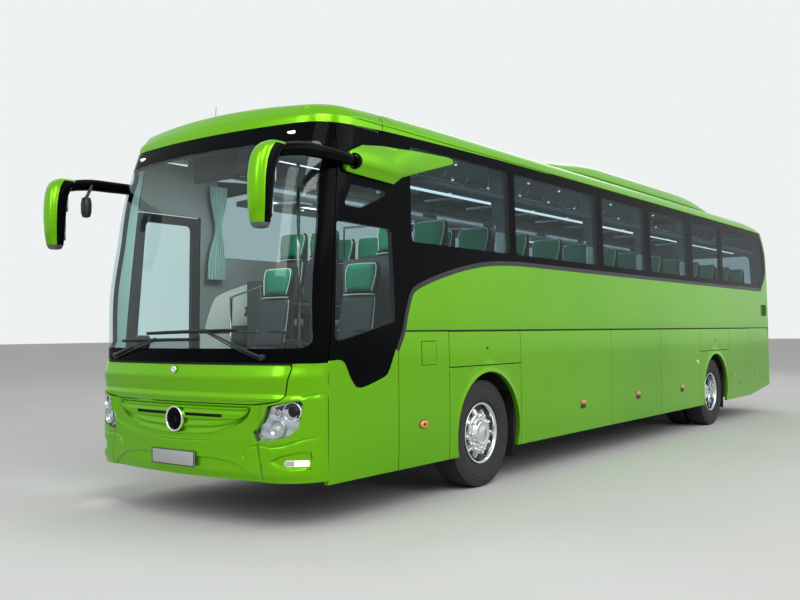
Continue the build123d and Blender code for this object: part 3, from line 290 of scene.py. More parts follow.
def inside(points, loops):
    """Even-odd test of points against closed loops."""
    odd = np.zeros(len(points), bool)
    for loop in loops:
        for (x0, y0), (x1, y1) in zip(loop, np.roll(loop, -1, axis=0)):
            if y0 != y1:
                hit = (points[:, 1] < y0) != (points[:, 1] < y1)
                odd ^= hit & (points[:, 0] < (x1 - x0) * (points[:, 1] - y0) / (y1 - y0) + x0)
    return odd


def spline(points, steps=8):
    """Catmull-Rom line through points."""
    points = [np.array(p, float) for p in points]
    line = []
    padded = [2 * points[0] - points[1]] + points + [2 * points[-1] - points[-2]]
    for a, b, c, d in zip(padded, padded[1:], padded[2:], padded[3:]):
        for t in (k / steps for k in range(steps)):
            line.append(0.5 * (2 * b + (c - a) * t + (2 * a - 5 * b + 4 * c - d) * t * t
                               + (3 * b - a - 3 * c + d) * t ** 3))
    return line + [points[-1]]


def new_piece(name, mesh, body="coach", slot=None, node=None, matrix=None):
    """Object that rides on a body, with the CAD node that it stands for. slot, its finish, is not used."""
    piece = bpy.data.objects.new(name, mesh)
    if matrix is not None:
        piece.matrix_world = matrix
    bpy.context.scene.collection.objects.link(piece)
    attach(piece, body)
    if node:
        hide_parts(node)
    return piece


def new_mesh(name, verts, faces, materials, slots, normals=None):
    """Smooth shaded mesh from points and faces."""
    mesh = bpy.data.meshes.new(name)
    mesh.from_pydata([tuple(v) for v in verts], [], [tuple(int(i) for i in f) for f in faces])
    for material in materials:
        mesh.materials.append(material)
    mesh.polygons.foreach_set("use_smooth", [True] * len(mesh.polygons))
    mesh.polygons.foreach_set("material_index", [int(s) for s in slots])
    mesh.update()
    if normals is not None:
        mesh.normals_split_custom_set_from_vertices([tuple(n) for n in normals])
    return mesh


def unit(vectors):
    return vectors / np.maximum(np.linalg.norm(vectors, axis=1), 1e-12)[:, None]


def surface_normals(place, uv, step=0.0012):
    """Unit normals of a surface by central differences."""
    du, dv = np.array((step, 0.0)), np.array((0.0, step))
    return unit(np.cross(place(uv + du) - place(uv - du), place(uv + dv) - place(uv - dv)))


def far_from(points, others, reach):
    """Which points are further than reach from all the others."""
    far = np.ones(len(points), bool)
    for begin in range(0, len(others), 300):
        gaps = np.linalg.norm(points[:, None, :] - others[None, begin:begin + 300, :], axis=2)
        far &= gaps.min(1) > reach
    return far


def triangulated(loops, bounds, runs=(), grid=()):
    """Triangles of the flat area within bounds, whose edges follow closed loops and open runs."""
    flat, edges = [], []
    for line, last in [(loop, 0) for loop in loops] + [(run, 1) for run in runs]:
        start, size = len(flat), len(line)
        edges += [(start + i, start + (i + 1) % size) for i in range(size - last)]
        flat += [Vector(p) for p in line]
    points, _, tris, _, _, _ = delaunay_2d_cdt(flat + [Vector(p) for p in grid], edges, [], 0, 1e-7)
    points = np.array([tuple(p) for p in points])
    tris = np.array([t for t in tris if len(t) == 3])
    return points, tris[inside(points[tris].mean(1), bounds)]


def skin(name, place, outer, holes=(), cell=0.08, roll=0.003, depth=0.03, lift=0.0, flip=False, back=True, rings=(),
         materials=(), stretch=1.0, patches=(), lines=(), wall=0, **riding):
    """Panel over a surface: a face cut to its outline and holes, with rolled edges, a rim and a back.

    flip turns the face round where the surface's own normal points inwards. patches are (outline, slot) pairs
    that take another material. rings are further insets at which the face gets points. lines are open runs that
    the face's edges follow. wall is the material slot of the edges' deep sides. riding is what new_piece takes.
    """
    sign = -1.0 if flip else 1.0
    fine = min(cell, 0.05)
    loops = [resampled(turned_ccw(outer), cell)] + [resampled(turned_ccw(hole)[::-1], fine) for hole in holes]
    sides = [left_normals(loop) for loop in loops]
    tops = [loop + roll * n for loop, n in zip(loops, sides)]
    extra = [resampled(turned_ccw(outline), fine) for outline, _ in patches]
    borders = np.vstack(tops + extra)
    low, high = loops[0].min(0), loops[0].max(0)
    tall = cell * stretch
    grid_u = np.arange(math.ceil(low[0] / cell) * cell, high[0], cell)
    grid_v = np.arange(math.ceil(low[1] / tall) * tall, high[1], tall)
    grid = np.array([(u, v) for u in grid_u for v in grid_v]).reshape(-1, 2)
    if rings and len(grid):
        dense = np.vstack([resampled(loop, 0.03) for loop in loops])
        grid = grid[far_from(grid, dense, rings[-1] * 1.15 + 0.01)]
    for inset in rings:
        grid = np.vstack([grid] + [loop + inset * n for loop, n in zip(loops, sides)])
    if len(grid):
        grid = grid[inside(grid, tops)]
        grid = grid[far_from(grid, borders, min(0.3 * cell, 0.0015) if rings else 0.3 * cell)]
    runs = []
    for line in lines:
        line = np.asarray(line, float)
        fits = inside(line, tops) & (np.array([np.linalg.norm(borders - p, axis=1).min() for p in line]) > 0.003)
        runs += [line[k:k + 2] for k in range(len(line) - 1) if fits[k] and fits[k + 1]]
    if runs:
        grid = grid[far_from(grid, np.vstack(runs), 0.35 * cell)]
    points, tris = triangulated(tops + extra, tops, runs, grid)
    middles = points[tris].mean(1)
    slots = np.zeros(len(tris), int)
    for outline, slot in patches:
        slots[inside(middles, [turned_ccw(outline)])] = slot
    area = np.cross(points[tris[:, 1]] - points[tris[:, 0]], points[tris[:, 2]] - points[tris[:, 0]])
    tris[area < 0] = tris[area < 0][:, ::-1]
    if flip:
        tris = tris[:, ::-1]
    normal = surface_normals(place, points) * sign
    verts, norms, faces, marks = [place(points) + normal * lift], [normal], [tuple(t) for t in tris], list(slots)
    count = len(points)
    for loop, n in zip(loops, sides):
        size = len(loop)
        base = surface_normals(place, loop + roll * n) * sign
        across = unit(place(loop - 0.0008 * n) - place(loop + 0.0008 * n))
        rows = ((roll, 0.0, base), (0.3 * roll, 0.3 * roll, base + across), (0.0, roll, across), (0.0, depth, across))
        for inset, sunk, direction in rows:
            verts.append(place(loop + inset * n) + base * (lift - sunk))
            norms.append(direction / np.linalg.norm(direction, axis=1)[:, None])
        for row in range(3):
            a, b = count + row * size, count + (row + 1) * size
            quads = [(a + i, b + i, b + (i + 1) % size, a + (i + 1) % size) for i in range(size)]
            faces += [quad[::-1] for quad in quads] if flip else quads
            marks += [wall if row == 2 else 0] * size
        count += 4 * size
    if back:
        verts.append(place(points) + normal * (lift - depth))
        norms.append(-normal)
        faces += [tuple(int(i) + count for i in t[::-1]) for t in tris]
        marks += list(slots) if patches else [min(1, len(materials) - 1)] * len(tris)
    return new_piece(name, new_mesh(name, np.vstack(verts), faces, materials, marks, np.vstack(norms)), **riding)


class Shape:
    """A mesh that is put together from boxes, turned and lofted parts. Its Y is given as a station."""

    def __init__(self, front=FRONT):
        self.bm, self.front = bmesh.new(), front

    def vert(self, p):
        return self.bm.verts.new((p[0], self.front + p[1], p[2]))

    def bridge(self, a, b, slot):
        """Faces between two rings of points."""
        for k in range(len(a)):
            j = (k + 1) % len(a)
            self.bm.faces.new((a[k], a[j], b[j], b[k])).material_index = slot

    def box(self, one, other, bevel, slot=0, segments=2):
        """Bevelled box between two corners."""
        made = bmesh.ops.create_cube(self.bm, size=1.0)["verts"]
        low, high = ([pick(a, b) for a, b in zip(one, other)] for pick in (min, max))
        for corner in (low, high):
            corner[1] += self.front
        for v in made:
            v.co = Vector(v.co[i] * (high[i] - low[i]) + (low[i] + high[i]) / 2 for i in range(3))
        for face in {f for v in made for f in v.link_faces}:
            face.material_index = slot
        edges = list({e for v in made for e in v.link_edges})
        for face in bmesh.ops.bevel(self.bm, geom=edges, offset=bevel, segments=segments, profile=0.5, affect="EDGES",
                                    clamp_overlap=True)["faces"]:
            face.material_index = slot

    def lathe(self, profile, origin, axis, steps=48, slot=0, shut=False):
        """Surface turned about an axis from (offset along it, radius) points, shut into a ring or open."""
        axis = Vector(axis).normalized()
        side = axis.orthogonal().normalized()
        up = axis.cross(side)
        turns = [2 * math.pi * k / steps for k in range(steps)]
        rings = [[self.vert(Vector(origin) + axis * offset + (side * math.cos(turn) + up * math.sin(turn)) * radius)
                  for turn in turns] for offset, radius in profile]
        for a, b in zip(rings, rings[1:] + (rings[:1] if shut else [])):
            self.bridge(a, b, slot)

    def tube(self, points, radius, steps=10, slot=0, flat=1.0):
        """Round or flattened bar along points. radius may be a list, one for each point."""
        points = [Vector(p) for p in points]
        radii = radius if isinstance(radius, (list, tuple)) else [radius] * len(points)
        rings = []
        for i, p in enumerate(points):
            ahead = (points[min(i + 1, len(points) - 1)] - points[max(i - 1, 0)]).normalized()
            across = ahead.cross(Vector((0, 0, 1)))
            if across.length < 1e-3:
                across = ahead.cross(Vector((0, 1, 0)))
            across.normalize()
            rise = across.cross(ahead)
            turns = [k * 2 * math.pi / steps for k in range(steps)]
            rings.append([self.vert(p + across * math.cos(turn) * radii[i] + rise * math.sin(turn) * radii[i] * flat)
                          for turn in turns])
        for a, b in zip(rings, rings[1:]):
            self.bridge(a, b, slot)
        for cap in (rings[0][::-1], rings[-1]):
            self.bm.faces.new(cap).material_index = slot

    def loft(self, rings, slot=0):
        """Surface through closed rings of points, in order, with capped ends."""
        rows = [[self.vert(p) for p in ring] for ring in rings]
        for a, b in zip(rows, rows[1:]):
            self.bridge(a, b, slot)
        count = len(rows[0])
        for ring in (rows[0][::-1], rows[-1]):
            middle = self.bm.verts.new(sum((v.co for v in ring), Vector()) / count)
            for k in range(count):
                self.bm.faces.new((ring[k], ring[(k + 1) % count], middle)).material_index = slot

    def mesh(self, name, materials, angle=40):
        """The finished mesh, smooth shaded with sharp edges past an angle."""
        for edge in self.bm.edges:
            edge.smooth = len(edge.link_faces) == 2 and edge.calc_face_angle(0) < math.radians(angle)
        for face in self.bm.faces:
            face.smooth = True
        mesh = bpy.data.meshes.new(name)
        self.bm.to_mesh(mesh)
        self.bm.free()
        for material in materials:
            mesh.materials.append(material)
        return mesh

    def done(self, name, materials, angle=40, **riding):
        return new_piece(name, self.mesh(name, materials, angle), **riding)




# ---- materials --------------------------------------------------------------------------------------
def linear(colour):
    """Linear colour from 0-255 display values; one given up to 1 is linear already."""
    if max(colour) <= 1:
        return colour
    return tuple(((c / 255) / 12.92 if c / 255 <= 0.04045 else ((c / 255 + 0.055) / 1.055) ** 2.4) for c in colour)


def connect(tree, node, inputs):
    """Sets a node's inputs, and links those whose value is another node's output."""
    for key, value in inputs.items():
        if isinstance(value, bpy.types.NodeSocket):
            tree.links.new(value, node.inputs[key])
        else:
            node.inputs[key].default_value = value


def add_node(tree, kind, inputs=(), **settings):
    node = tree.nodes.new("ShaderNode" + kind)
    for key, value in settings.items():
        setattr(node, key, value)
    connect(tree, node, dict(inputs))
    return node


def ramp(tree, factor, *stops):
    """Colour by (position, colour) stops."""
    node = add_node(tree, "ValToRGB", {"Fac": factor})
    elements = node.color_ramp.elements
    for number, (position, colour) in enumerate(stops):
        element = elements[number] if number < 2 else elements.new(position)
        element.position, element.color = position, (*colour, 1)
    return node.outputs["Color"]


def material(name, slot, colour, rough=0.4, vary=0.06, bump=0.0, grain=200.0, metal=0.0, coat=0.0, vary_scale=3.0,
             rough_vary=0.06, stretch=(1, 1, 1), specular=0.5, sheen=0.0, glow=None, strength=0.0, darker=None,
             cells=False):
    """Principled material whose colour, roughness and relief come from noise in object space."""
    made = bpy.data.materials.new(name)
    made.use_nodes = True
    tree = made.node_tree
    shader = tree.nodes["Principled BSDF"]
    colour = linear(colour)
    where = add_node(tree, "TexCoord").outputs["Object"]
    where = add_node(tree, "Mapping", {"Scale": stretch, "Vector": where}).outputs["Vector"]
    broad = add_node(tree, "TexNoise", {"Scale": vary_scale, "Detail": 6, "Vector": where})
    low = linear(darker) if darker else [c * (1 - vary) for c in colour]
    high = [min(1, c * (1 + vary)) for c in colour]
    fine = add_node(tree, "TexVoronoi" if cells else "TexNoise", {"Scale": grain, "Vector": where})
    fine = fine.outputs["Distance" if cells else "Fac"]
    spread = add_node(tree, "MapRange", {"To Min": max(0.0, rough - rough_vary), "To Max": min(1.0, rough + rough_vary),
                                         "Value": fine})
    connect(tree, shader, {"Metallic": metal, "Coat Weight": coat, "Coat Roughness": 0.04, "Sheen Weight": sheen,
                           "Specular IOR Level": specular, "Roughness": spread.outputs["Result"],
                           "Base Color": ramp(tree, broad.outputs["Fac"], (0.3, low), (0.7, high))})
    if bump:
        relief = add_node(tree, "Bump", {"Strength": 0.6, "Distance": bump, "Height": fine})
        connect(tree, shader, {"Normal": relief.outputs["Normal"]})
    if glow:
        connect(tree, shader, {"Emission Color": (*glow, 1), "Emission Strength": strength})
    return made


def glass(name, tint, gloss=0.02, ior=1.5, most=0.4):
    """Tinted pane: light passes straight through it and the rest is mirrored, more at a slant."""
    made = bpy.data.materials.new(name)
    made.use_nodes = True
    tree = made.node_tree
    tree.nodes.remove(tree.nodes["Principled BSDF"])
    where = add_node(tree, "TexCoord").outputs["Object"]
    noise = add_node(tree, "TexNoise", {"Scale": 0.7, "Vector": where}).outputs["Fac"]
    shade = ramp(tree, noise, (0.0, [c * 0.94 for c in tint]), (1.0, tint))
    clear = add_node(tree, "BsdfTransparent", {"Color": shade})
    spread = add_node(tree, "MapRange", {"To Min": gloss * 0.6, "To Max": gloss * 1.4, "Value": noise})
    mirror = add_node(tree, "BsdfPrincipled", {"Metallic": 1.0, "Base Color": (0.95, 0.97, 0.97, 1),
                                               "Roughness": spread.outputs["Result"]})
    facing = add_node(tree, "LayerWeight", {"Blend": 0.5})
    steep = add_node(tree, "Math", {0: facing.outputs["Facing"], 1: 4.0}, operation="POWER")
    slant = add_node(tree, "MapRange", {"To Min": ((ior - 1) / (ior + 1)) ** 2, "To Max": most,
                                        "Value": steep.outputs["Value"]})
    mix = add_node(tree, "MixShader", {"Fac": slant.outputs["Result"], 1: clear.outputs["BSDF"],
                                       2: mirror.outputs["BSDF"]})
    connect(tree, tree.nodes["Material Output"], {"Surface": mix.outputs["Shader"]})
    return made


# columns: name, finish, colour, roughness, variation, relief in metres, its scale
PAINT = material("lime_paint", "green_paint", (116, 192, 8), 0.28, 0.03, 0.00004, 900, metal=0.70, coat=0.15,
                 darker=(104, 180, 4), vary_scale=0.35, rough_vary=0.05, specular=0.25)
GLOSS_BLACK = material("gloss_black", "black_gloss", (7, 8, 10), 0.12, 0.2, 0.00003, 700, rough_vary=0.03,
                       specular=0.03)
SATIN_BLACK = material("satin_black", "black_plastic", (30, 31, 33), 0.45, 0.15, 0.0002, 900)
SEAL = material("rubber_seal", "rubber", (18, 18, 19), 0.7, 0.2, 0.0002, 500)
LINING = material("cabin_lining", "rack", (196, 200, 194), 0.8, 0.06, 0.0004, 700)
DARK_LINING = material("dark_lining", "rack", (112, 116, 116), 0.85, 0.1, 0.0005, 600)
STRIP_GREY = material("strip_grey", "green_paint", (34, 35, 40), 0.38, 0.05, 0.00005, metal=0.2)
TIP_GREY = material("tip_grey", "black_plastic", (96, 98, 104), 0.4, 0.06, 0.0001, metal=0.3)
TRIM = material("pillar_trim", "rack", (150, 182, 178), 0.6, 0.06, 0.0004, 500)
CHROME = material("chrome", "steel", (226, 228, 230), 0.09, 0.03, 0, 60, metal=1.0, rough_vary=0.04)
SILVER = material("silver_reflector", "lamp", (205, 208, 212), 0.2, 0.05, 0.0002, 90, metal=1.0)
ALLOY = material("wheel_alloy", "alloy", (188, 190, 192), 0.24, 0.08, 0.00008, 320, metal=0.9, vary_scale=9,
                 rough_vary=0.08)
RUBBER = material("tyre_rubber", "tyre", (38, 38, 39), 0.78, 0.18, 0.0004, 420, vary_scale=14)
STEEL = material("chassis_steel", "steel", (52, 54, 56), 0.55, 0.2, 0.0003, 150, metal=0.5, vary_scale=6)
CAST = material("cast_iron", "steel", (62, 63, 65), 0.7, 0.2, 0.0006, 260, metal=0.6, vary_scale=8)
FLOOR_MAT = material("deck_vinyl", "rack", (70, 74, 74), 0.6, 0.15, 0.0003, 300, vary_scale=40)
AMBER = material("amber_lens", "lamp", (255, 138, 12), 0.15, 0.08, 0.0004, 160, coat=1.0, vary_scale=40, cells=True)
RED_LENS = material("red_lens", "tail_lamp", (170, 14, 16), 0.14, 0.1, 0.0004, 140, coat=1.0, vary_scale=30, cells=True)
WHITE_LENS = material("white_lens", "lamp", (236, 236, 232), 0.12, 0.04, 0.0004, 140, coat=1.0, cells=True)
BEAM = material("lit_lens", "lamp", (255, 252, 240), 0.2, 0.03, 0, 80, glow=(1.0, 0.97, 0.88), strength=1.1)
LED = material("led_strip", "lamp", (235, 245, 255), 0.3, 0.02, 0, 80, glow=(0.82, 0.93, 1.0), strength=1.6)
PLATE_MAT = material("plate_blank", "plate", (170, 174, 176), 0.35, 0.05, 0.0001, 120, metal=0.3)
SEAT_SHELL = material("seat_shell", "seat", (34, 36, 38), 0.55, 0.15, 0.0004, 500)
LEATHER = material("seat_leather", "seat", (46, 50, 52), 0.5, 0.15, 0.0007, 620, vary_scale=12, cells=True)
TEAL = material("teal_leather", "seat", (14, 112, 84), 0.48, 0.1, 0.0007, 620, vary_scale=12, cells=True)
PIPING = material("seat_piping", "seat", (214, 214, 206), 0.6, 0.06, 0.0002, 900)
CEILING = material("cabin_ceiling", "rack", (92, 102, 104), 0.42, 0.12, 0.0003, 300, vary_scale=2)
CURTAIN, CURTAIN_TEAL, CURTAIN_PALE = (
    material(name, "seat", colour, 0.95, vary, 0.0006, 900, sheen=0.3, vary_scale=9, stretch=(1, 1, 0.25))
    for name, colour, vary in (("curtain_cloth", (96, 110, 112), 0.1), ("curtain_teal", (138, 168, 164), 0.1),
                               ("curtain_pale", (196, 212, 208), 0.07)))
DARK_TRIM = material("dark_trim", "rack", (62, 67, 70), 0.7, 0.1, 0.0004, 500)
MIRROR = material("mirror_face", "alloy", (210, 214, 218), 0.02, 0.02, 0, 40, metal=1.0, rough_vary=0.015)
SCREEN_GLASS = glass("windscreen_glass", (0.90, 0.965, 0.955), ior=1.36, most=0.28)
SIDE_GLASS = glass("side_glass", (0.66, 0.74, 0.76), gloss=0.025, ior=1.3, most=0.15)
DRIVER_GLASS = glass("driver_glass", (0.84, 0.92, 0.92), ior=1.3, most=0.18)
LENS_GLASS = glass("lamp_lens", (0.90, 0.93, 0.95), gloss=0.03, ior=1.38)


# ---- camera, light and floor ------------------------------------------------------------------------
CAMERA_PLACE, CAMERA_TURN, LENS = (5.8753, -11.1975, 1.5287), (36.64, 1.93, -0.48), 40.92   # turn: yaw, pitch, roll


def make_camera():
    yaw, pitch, roll = (math.radians(v) for v in CAMERA_TURN)
    ahead = Vector((-math.sin(yaw) * math.cos(pitch), math.cos(yaw) * math.cos(pitch), math.sin(pitch)))
    right = Vector((math.cos(yaw), math.sin(yaw), 0))
    up = right.cross(ahead)
    right, up = right * math.cos(roll) + up * math.sin(roll), up * math.cos(roll) - right * math.sin(roll)
    lens = bpy.data.cameras.new("photo_camera")
    lens.lens, lens.sensor_width, lens.clip_end = LENS, 36.0, 400.0
    camera = bpy.data.objects.new("photo_camera", lens)
    camera.matrix_world = Matrix([(right[i], up[i], -ahead[i], CAMERA_PLACE[i]) for i in range(3)] + [(0, 0, 0, 1)])
    bpy.context.scene.collection.objects.link(camera)
    bpy.context.scene.camera = camera


def area_light(name, place, target, size, power, colour=(1, 1, 1), shown=True):
    lamp = bpy.data.lights.new(name, "AREA")
    lamp.shape, lamp.size, lamp.size_y, lamp.energy, lamp.color = "RECTANGLE", size[0], size[1], power, colour
    piece = bpy.data.objects.new(name, lamp)
    piece.location = place
    piece.rotation_euler = (Vector(target) - Vector(place)).to_track_quat("-Z", "Y").to_euler()
    piece.visible_camera = piece.visible_transmission = False
    piece.visible_glossy = shown
    bpy.context.scene.collection.objects.link(piece)


def make_stage():
    """Pale floor, a world that is pale to the eye and soft daylight."""
    bm = bmesh.new()
    bmesh.ops.create_grid(bm, x_segments=2, y_segments=2, size=120)
    mesh = bpy.data.meshes.new("floor_plane")
    bm.to_mesh(mesh)
    bm.free()
    mesh.materials.append(material("pale_floor", None, (0.62, 0.62, 0.61), 0.85, 0.02, 0, 30, vary_scale=0.4,
                                   specular=0.1))
    floor = bpy.data.objects.new("floor_plane", mesh)
    bpy.context.scene.collection.objects.link(floor)
    world = bpy.data.worlds.new("studio")
    bpy.context.scene.world = world
    world.use_nodes = True
    tree = world.node_tree
    where = add_node(tree, "TexCoord").outputs["Generated"]
    height = add_node(tree, "SeparateXYZ", {"Vector": where}).outputs["Z"]
    height = add_node(tree, "MapRange", {"From Min": -1.0, "Value": height}).outputs["Result"]
    sky = ramp(tree, height, (0.47, (0.30, 0.31, 0.30)), (0.80, (1.0, 1.0, 1.0)), (0.55, (0.62, 0.64, 0.64)))
    connect(tree, tree.nodes["Background"], {"Strength": 0.58, "Color": sky})
    plain = add_node(tree, "Background", {"Color": (0.86, 0.88, 0.89, 1), "Strength": 1.0})
    path = add_node(tree, "LightPath")
    seen = path.outputs["Is Camera Ray"]
    for kind in ("Is Glossy Ray", "Is Transmission Ray"):
        seen = add_node(tree, "Math", {0: seen, 1: path.outputs[kind]}, operation="MAXIMUM").outputs["Value"]
    mix = add_node(tree, "MixShader", {"Fac": seen, 1: tree.nodes["Background"].outputs["Background"],
                                       2: plain.outputs["Background"]})
    connect(tree, tree.nodes["World Output"], {"Surface": mix.outputs["Shader"]})
    area_light("key", (11, -13, 13), (0, -1, 1.5), (9, 9), 1250)
    area_light("side_fill", (15, 3, 9), (0, 1, 1.5), (14, 8), 820)
    area_light("front_fill", (-1, -20, 10), (0, -5, 1.5), (8, 8), 600)
    area_light("rear_fill", (-8, 15, 10), (0, 3, 1.8), (12, 8), 460)
    for number, (y, z, power) in enumerate(((-5.15, 3.12, 40), (-2.6, 3.28, 55), (1.2, 3.28, 45), (4.6, 3.28, 16))):
        area_light(f"cabin_{number}", (0, y, z), (0, y, 0), (0.9, 3.2 if number else 1.0), power, (0.93, 1.0, 0.99),
                   shown=False)


bpy.context.scene.view_settings.view_transform = "Standard"
make_camera()
make_stage()


# ---- side panels ------------------------------------------------------------------------------------
DOOR_REAR, ARCH_FRONT, ARCH_REAR, BAY_1, BAY_2 = 1.336, 2.115, 3.445, 5.721, 7.370
MID_DOOR, REAR_ARCH_FRONT, REAR_ARCH_REAR, ENGINE_REAR = (7.450, 8.190), 8.987, 10.440, 11.600
FRONT_ARCH_FOOT, REAR_ARCH_FOOT = 1.192, 1.180
FLAP_TOP, PANEL_TOP, WALL_FOOT, LAP = BELT - 0.006, BELT - 0.002, BELT + 0.010, GAP / 2
CORNER_START, UPPER_START, SIDE_END = 0.442, 1.395, 12.781
LIP_WIDTH, LIP_RISE, ARCH_CENTRE_Z = 0.055, 0.007, TYRE_RADIUS + 0.020
DOOR_HEAD, SEAM_Z = 2.680, 3.243
# black and green meet along this line, from the front cap's seam up to the window band
SWOOP = ((0.442, 1.300), (0.612, 1.296), (0.700, 1.170), (0.763, 1.095), (0.815, 1.078), (0.870, 1.079), (1.000, 1.108),
         (1.160, 1.154), (1.215, 1.205), (1.260, 1.290), (1.322, 1.405), (1.388, 1.517), (1.440, 1.680), (1.523, 1.861),
         (1.613, 1.924), (1.780, 1.982), (1.972, 2.036), (2.180, 2.086), (2.392, 2.131), (2.740, 2.186), (3.100, 2.216),
         (3.500, BAND))
BAND_REAR = ((12.433, 2.235), (12.560, 2.330), (12.685, 2.445), (12.738, 2.530), (12.757, 2.620), (12.763, 2.748),
             (12.738, 2.860), (12.690, 2.960), (12.639, 3.042), (12.545, 3.160), (12.450, 3.236))
SWOOP_LINE, REAR_LINE = ([tuple(p) for p in spline(line, 4)] for line in (SWOOP, BAND_REAR))
ARCH_RINGS = (0.004, 0.01, 0.018, 0.028)


def cap_seam(height):
    return CAP_SEAM + max(0.0, height - MASK_FOOT) * SEAM_LEAN


def lower_relief(s, z):
    """Barrel of the lower side, with a raised lip and a crease round each wheel arch."""
    relief = 0.010 * np.clip((z - 1.24) / 0.30, 0, 1) ** 2
    for axle in (FRONT_AXLE, REAR_AXLE):
        radius = np.hypot(s - axle, z - ARCH_CENTRE_Z) - ARCH_RADIUS
        lip = np.clip(1 - radius / LIP_WIDTH, 0, 1)
        crease = np.exp(-((radius - LIP_WIDTH * 1.75) / 0.012) ** 2)
        relief = relief - LIP_RISE * (lip * lip * (3 - 2 * lip)) + 0.0022 * crease
    return relief


def arch_notch(low, high, foot, axle, steps=28):
    """Outline of a panel over a wheel arch, from its lower rear corner round to the lower front one."""
    start = math.asin((SKIRT - ARCH_CENTRE_Z) / ARCH_RADIUS)
    turns = [start + (math.pi - 2 * start) * k / steps for k in range(steps, -1, -1)]
    return [(high, SKIRT), (high, foot), (low, foot), (low, SKIRT)] + [
        (axle + ARCH_RADIUS * math.cos(turn), ARCH_CENTRE_Z + ARCH_RADIUS * math.sin(turn)) for turn in turns]


def side_piece(name, side, outline, holes=(), face=None, **options):
    """Skin on one side of the coach from an outline in stations and heights."""
    usual = {"cell": 0.09, "roll": 0.0035, "depth": 0.045, "rings": (0.02,), "materials": (PAINT, LINING)}
    return skin(f"{WORD[side]}_{name}", face or side_face(side, lower_relief), outline, holes, flip=side < 0,
                **(usual | options))


def side_box(shape, side, s, z, width, height, depths, bevel, slot=0, segments=2):
    """Box on a side's surface, between two distances out from it."""
    shape.box((side * (HALF + depths[0]), s - width / 2, z - height / 2),
              (side * (HALF + depths[1]), s + width / 2, z + height / 2), bevel, slot, segments)


def marker(name, side, s, z, body, width=0.105, height=0.042):
    """Amber side marker lamp on a thin dark base."""
    shape = Shape()
    for grow, out, slot in ((0.006, 0.002, 1), (0.0, 0.010, 0)):
        side_box(shape, side, s, z, width + 2 * grow, height + 2 * grow, (-0.01, out), 0.004, slot, 3)
    shape.done(f"{WORD[side]}_{name}", (AMBER, SATIN_BLACK), body=body)


def green_sides():
    """Painted skins of both sides."""
    swoop = [p for p in reversed(SWOOP_LINE) if p[0] > UPPER_START] + [(UPPER_START, WALL_FOOT)]
    tail = [(SIDE_END, WALL_FOOT), (SIDE_END, SEAM_Z)] + REAR_LINE[::-1]
    for side in (LEFT, RIGHT):
        upper = {"face": side_face(side), "cell": 0.12}
        if side == LEFT:
            side_piece("upper_skin", side, tail + swoop, [rectangle(12.362, 1.742, 12.712, 1.939, 0.03)], **upper)
        else:
            side_piece("upper_rear_skin", side, tail + [(MID_DOOR[1], BAND), (MID_DOOR[1], WALL_FOOT)], **upper)
            side_piece("upper_skin", side, [(MID_DOOR[0], WALL_FOOT), (MID_DOOR[0], BAND)] + swoop, **upper)
        for word, low, high, foot, axle in (("front", ARCH_FRONT, ARCH_REAR, FRONT_ARCH_FOOT, FRONT_AXLE),
                                            ("rear", REAR_ARCH_FRONT, REAR_ARCH_REAR, REAR_ARCH_FOOT, REAR_AXLE)):
            side_piece(f"{word}_arch_skin", side, arch_notch(low + LAP, high - LAP, foot - GAP, axle), cell=0.03,
                       rings=ARCH_RINGS)
        rear = ((ENGINE_REAR + LAP, SKIRT), (SIDE_END, 0.470), (SIDE_END, PANEL_TOP), (ENGINE_REAR + LAP, PANEL_TOP))
        side_piece("rear_corner_skin", side, rounded(rear, 0.008))
        foot = [(ARCH_FRONT - LAP, SKIRT), (ARCH_FRONT - LAP, PANEL_TOP)]
        if side == LEFT:
            corner = [(CORNER_START, SKIRT), (DOOR_REAR, SKIRT), (DOOR_REAR, 1.428)]
            corner += [p for p in reversed(SWOOP_LINE) if p[0] < 1.33] + [(CORNER_START, 1.300)]
            side_piece("corner_skin", side, corner)
            panel = [(DOOR_REAR + GAP, SKIRT)] + foot + [(1.386, PANEL_TOP), (DOOR_REAR + GAP, 1.444)]
            side_piece("service_skin", side, panel, [rectangle(1.676, 1.222, 1.909, 1.435, 0.012)])
            side_piece("service_lid_skin", side, rectangle(1.687, 1.226, 1.905, 1.431, 0.010), body="service_lid",
                       node="service_lid", depth=0.03, cell=0.05)
        else:
            side_piece("corner_skin", side, [(DOOR_REAR, SKIRT)] + foot + [(DOOR_REAR, PANEL_TOP)])


def flap(side, name, low, high, foot):
    """Top-hinged flap with pressed stiffeners behind it. Gives its body and its edges' stations."""
    body = f"{WORD[side]}_{name}"
    s0, s1 = low + LAP, high - LAP
    side_piece(f"{name}_skin", side, rectangle(s0, foot, s1, FLAP_TOP, 0.008), body=body, node=body)
    shape = Shape()
    out, back = side * (HALF - 0.052), side * (HALF - 0.044)
    for z0, z1 in ((foot + 0.05, foot + 0.11), (FLAP_TOP - 0.12, FLAP_TOP - 0.06)):
        shape.box((out, s0 + 0.05, z0), (back, s1 - 0.05, z1), 0.003)
    count = max(2, round((s1 - s0) / 0.7))
    for k in range(count + 1):
        s = s0 + 0.05 + (s1 - s0 - 0.16) * k / count
        shape.box((out, s, foot + 0.11), (back, s + 0.06, FLAP_TOP - 0.12), 0.003)
    shape.done(f"{body}_ribs", (STEEL,), body=body, slot="green_paint")
    return body, s0, s1


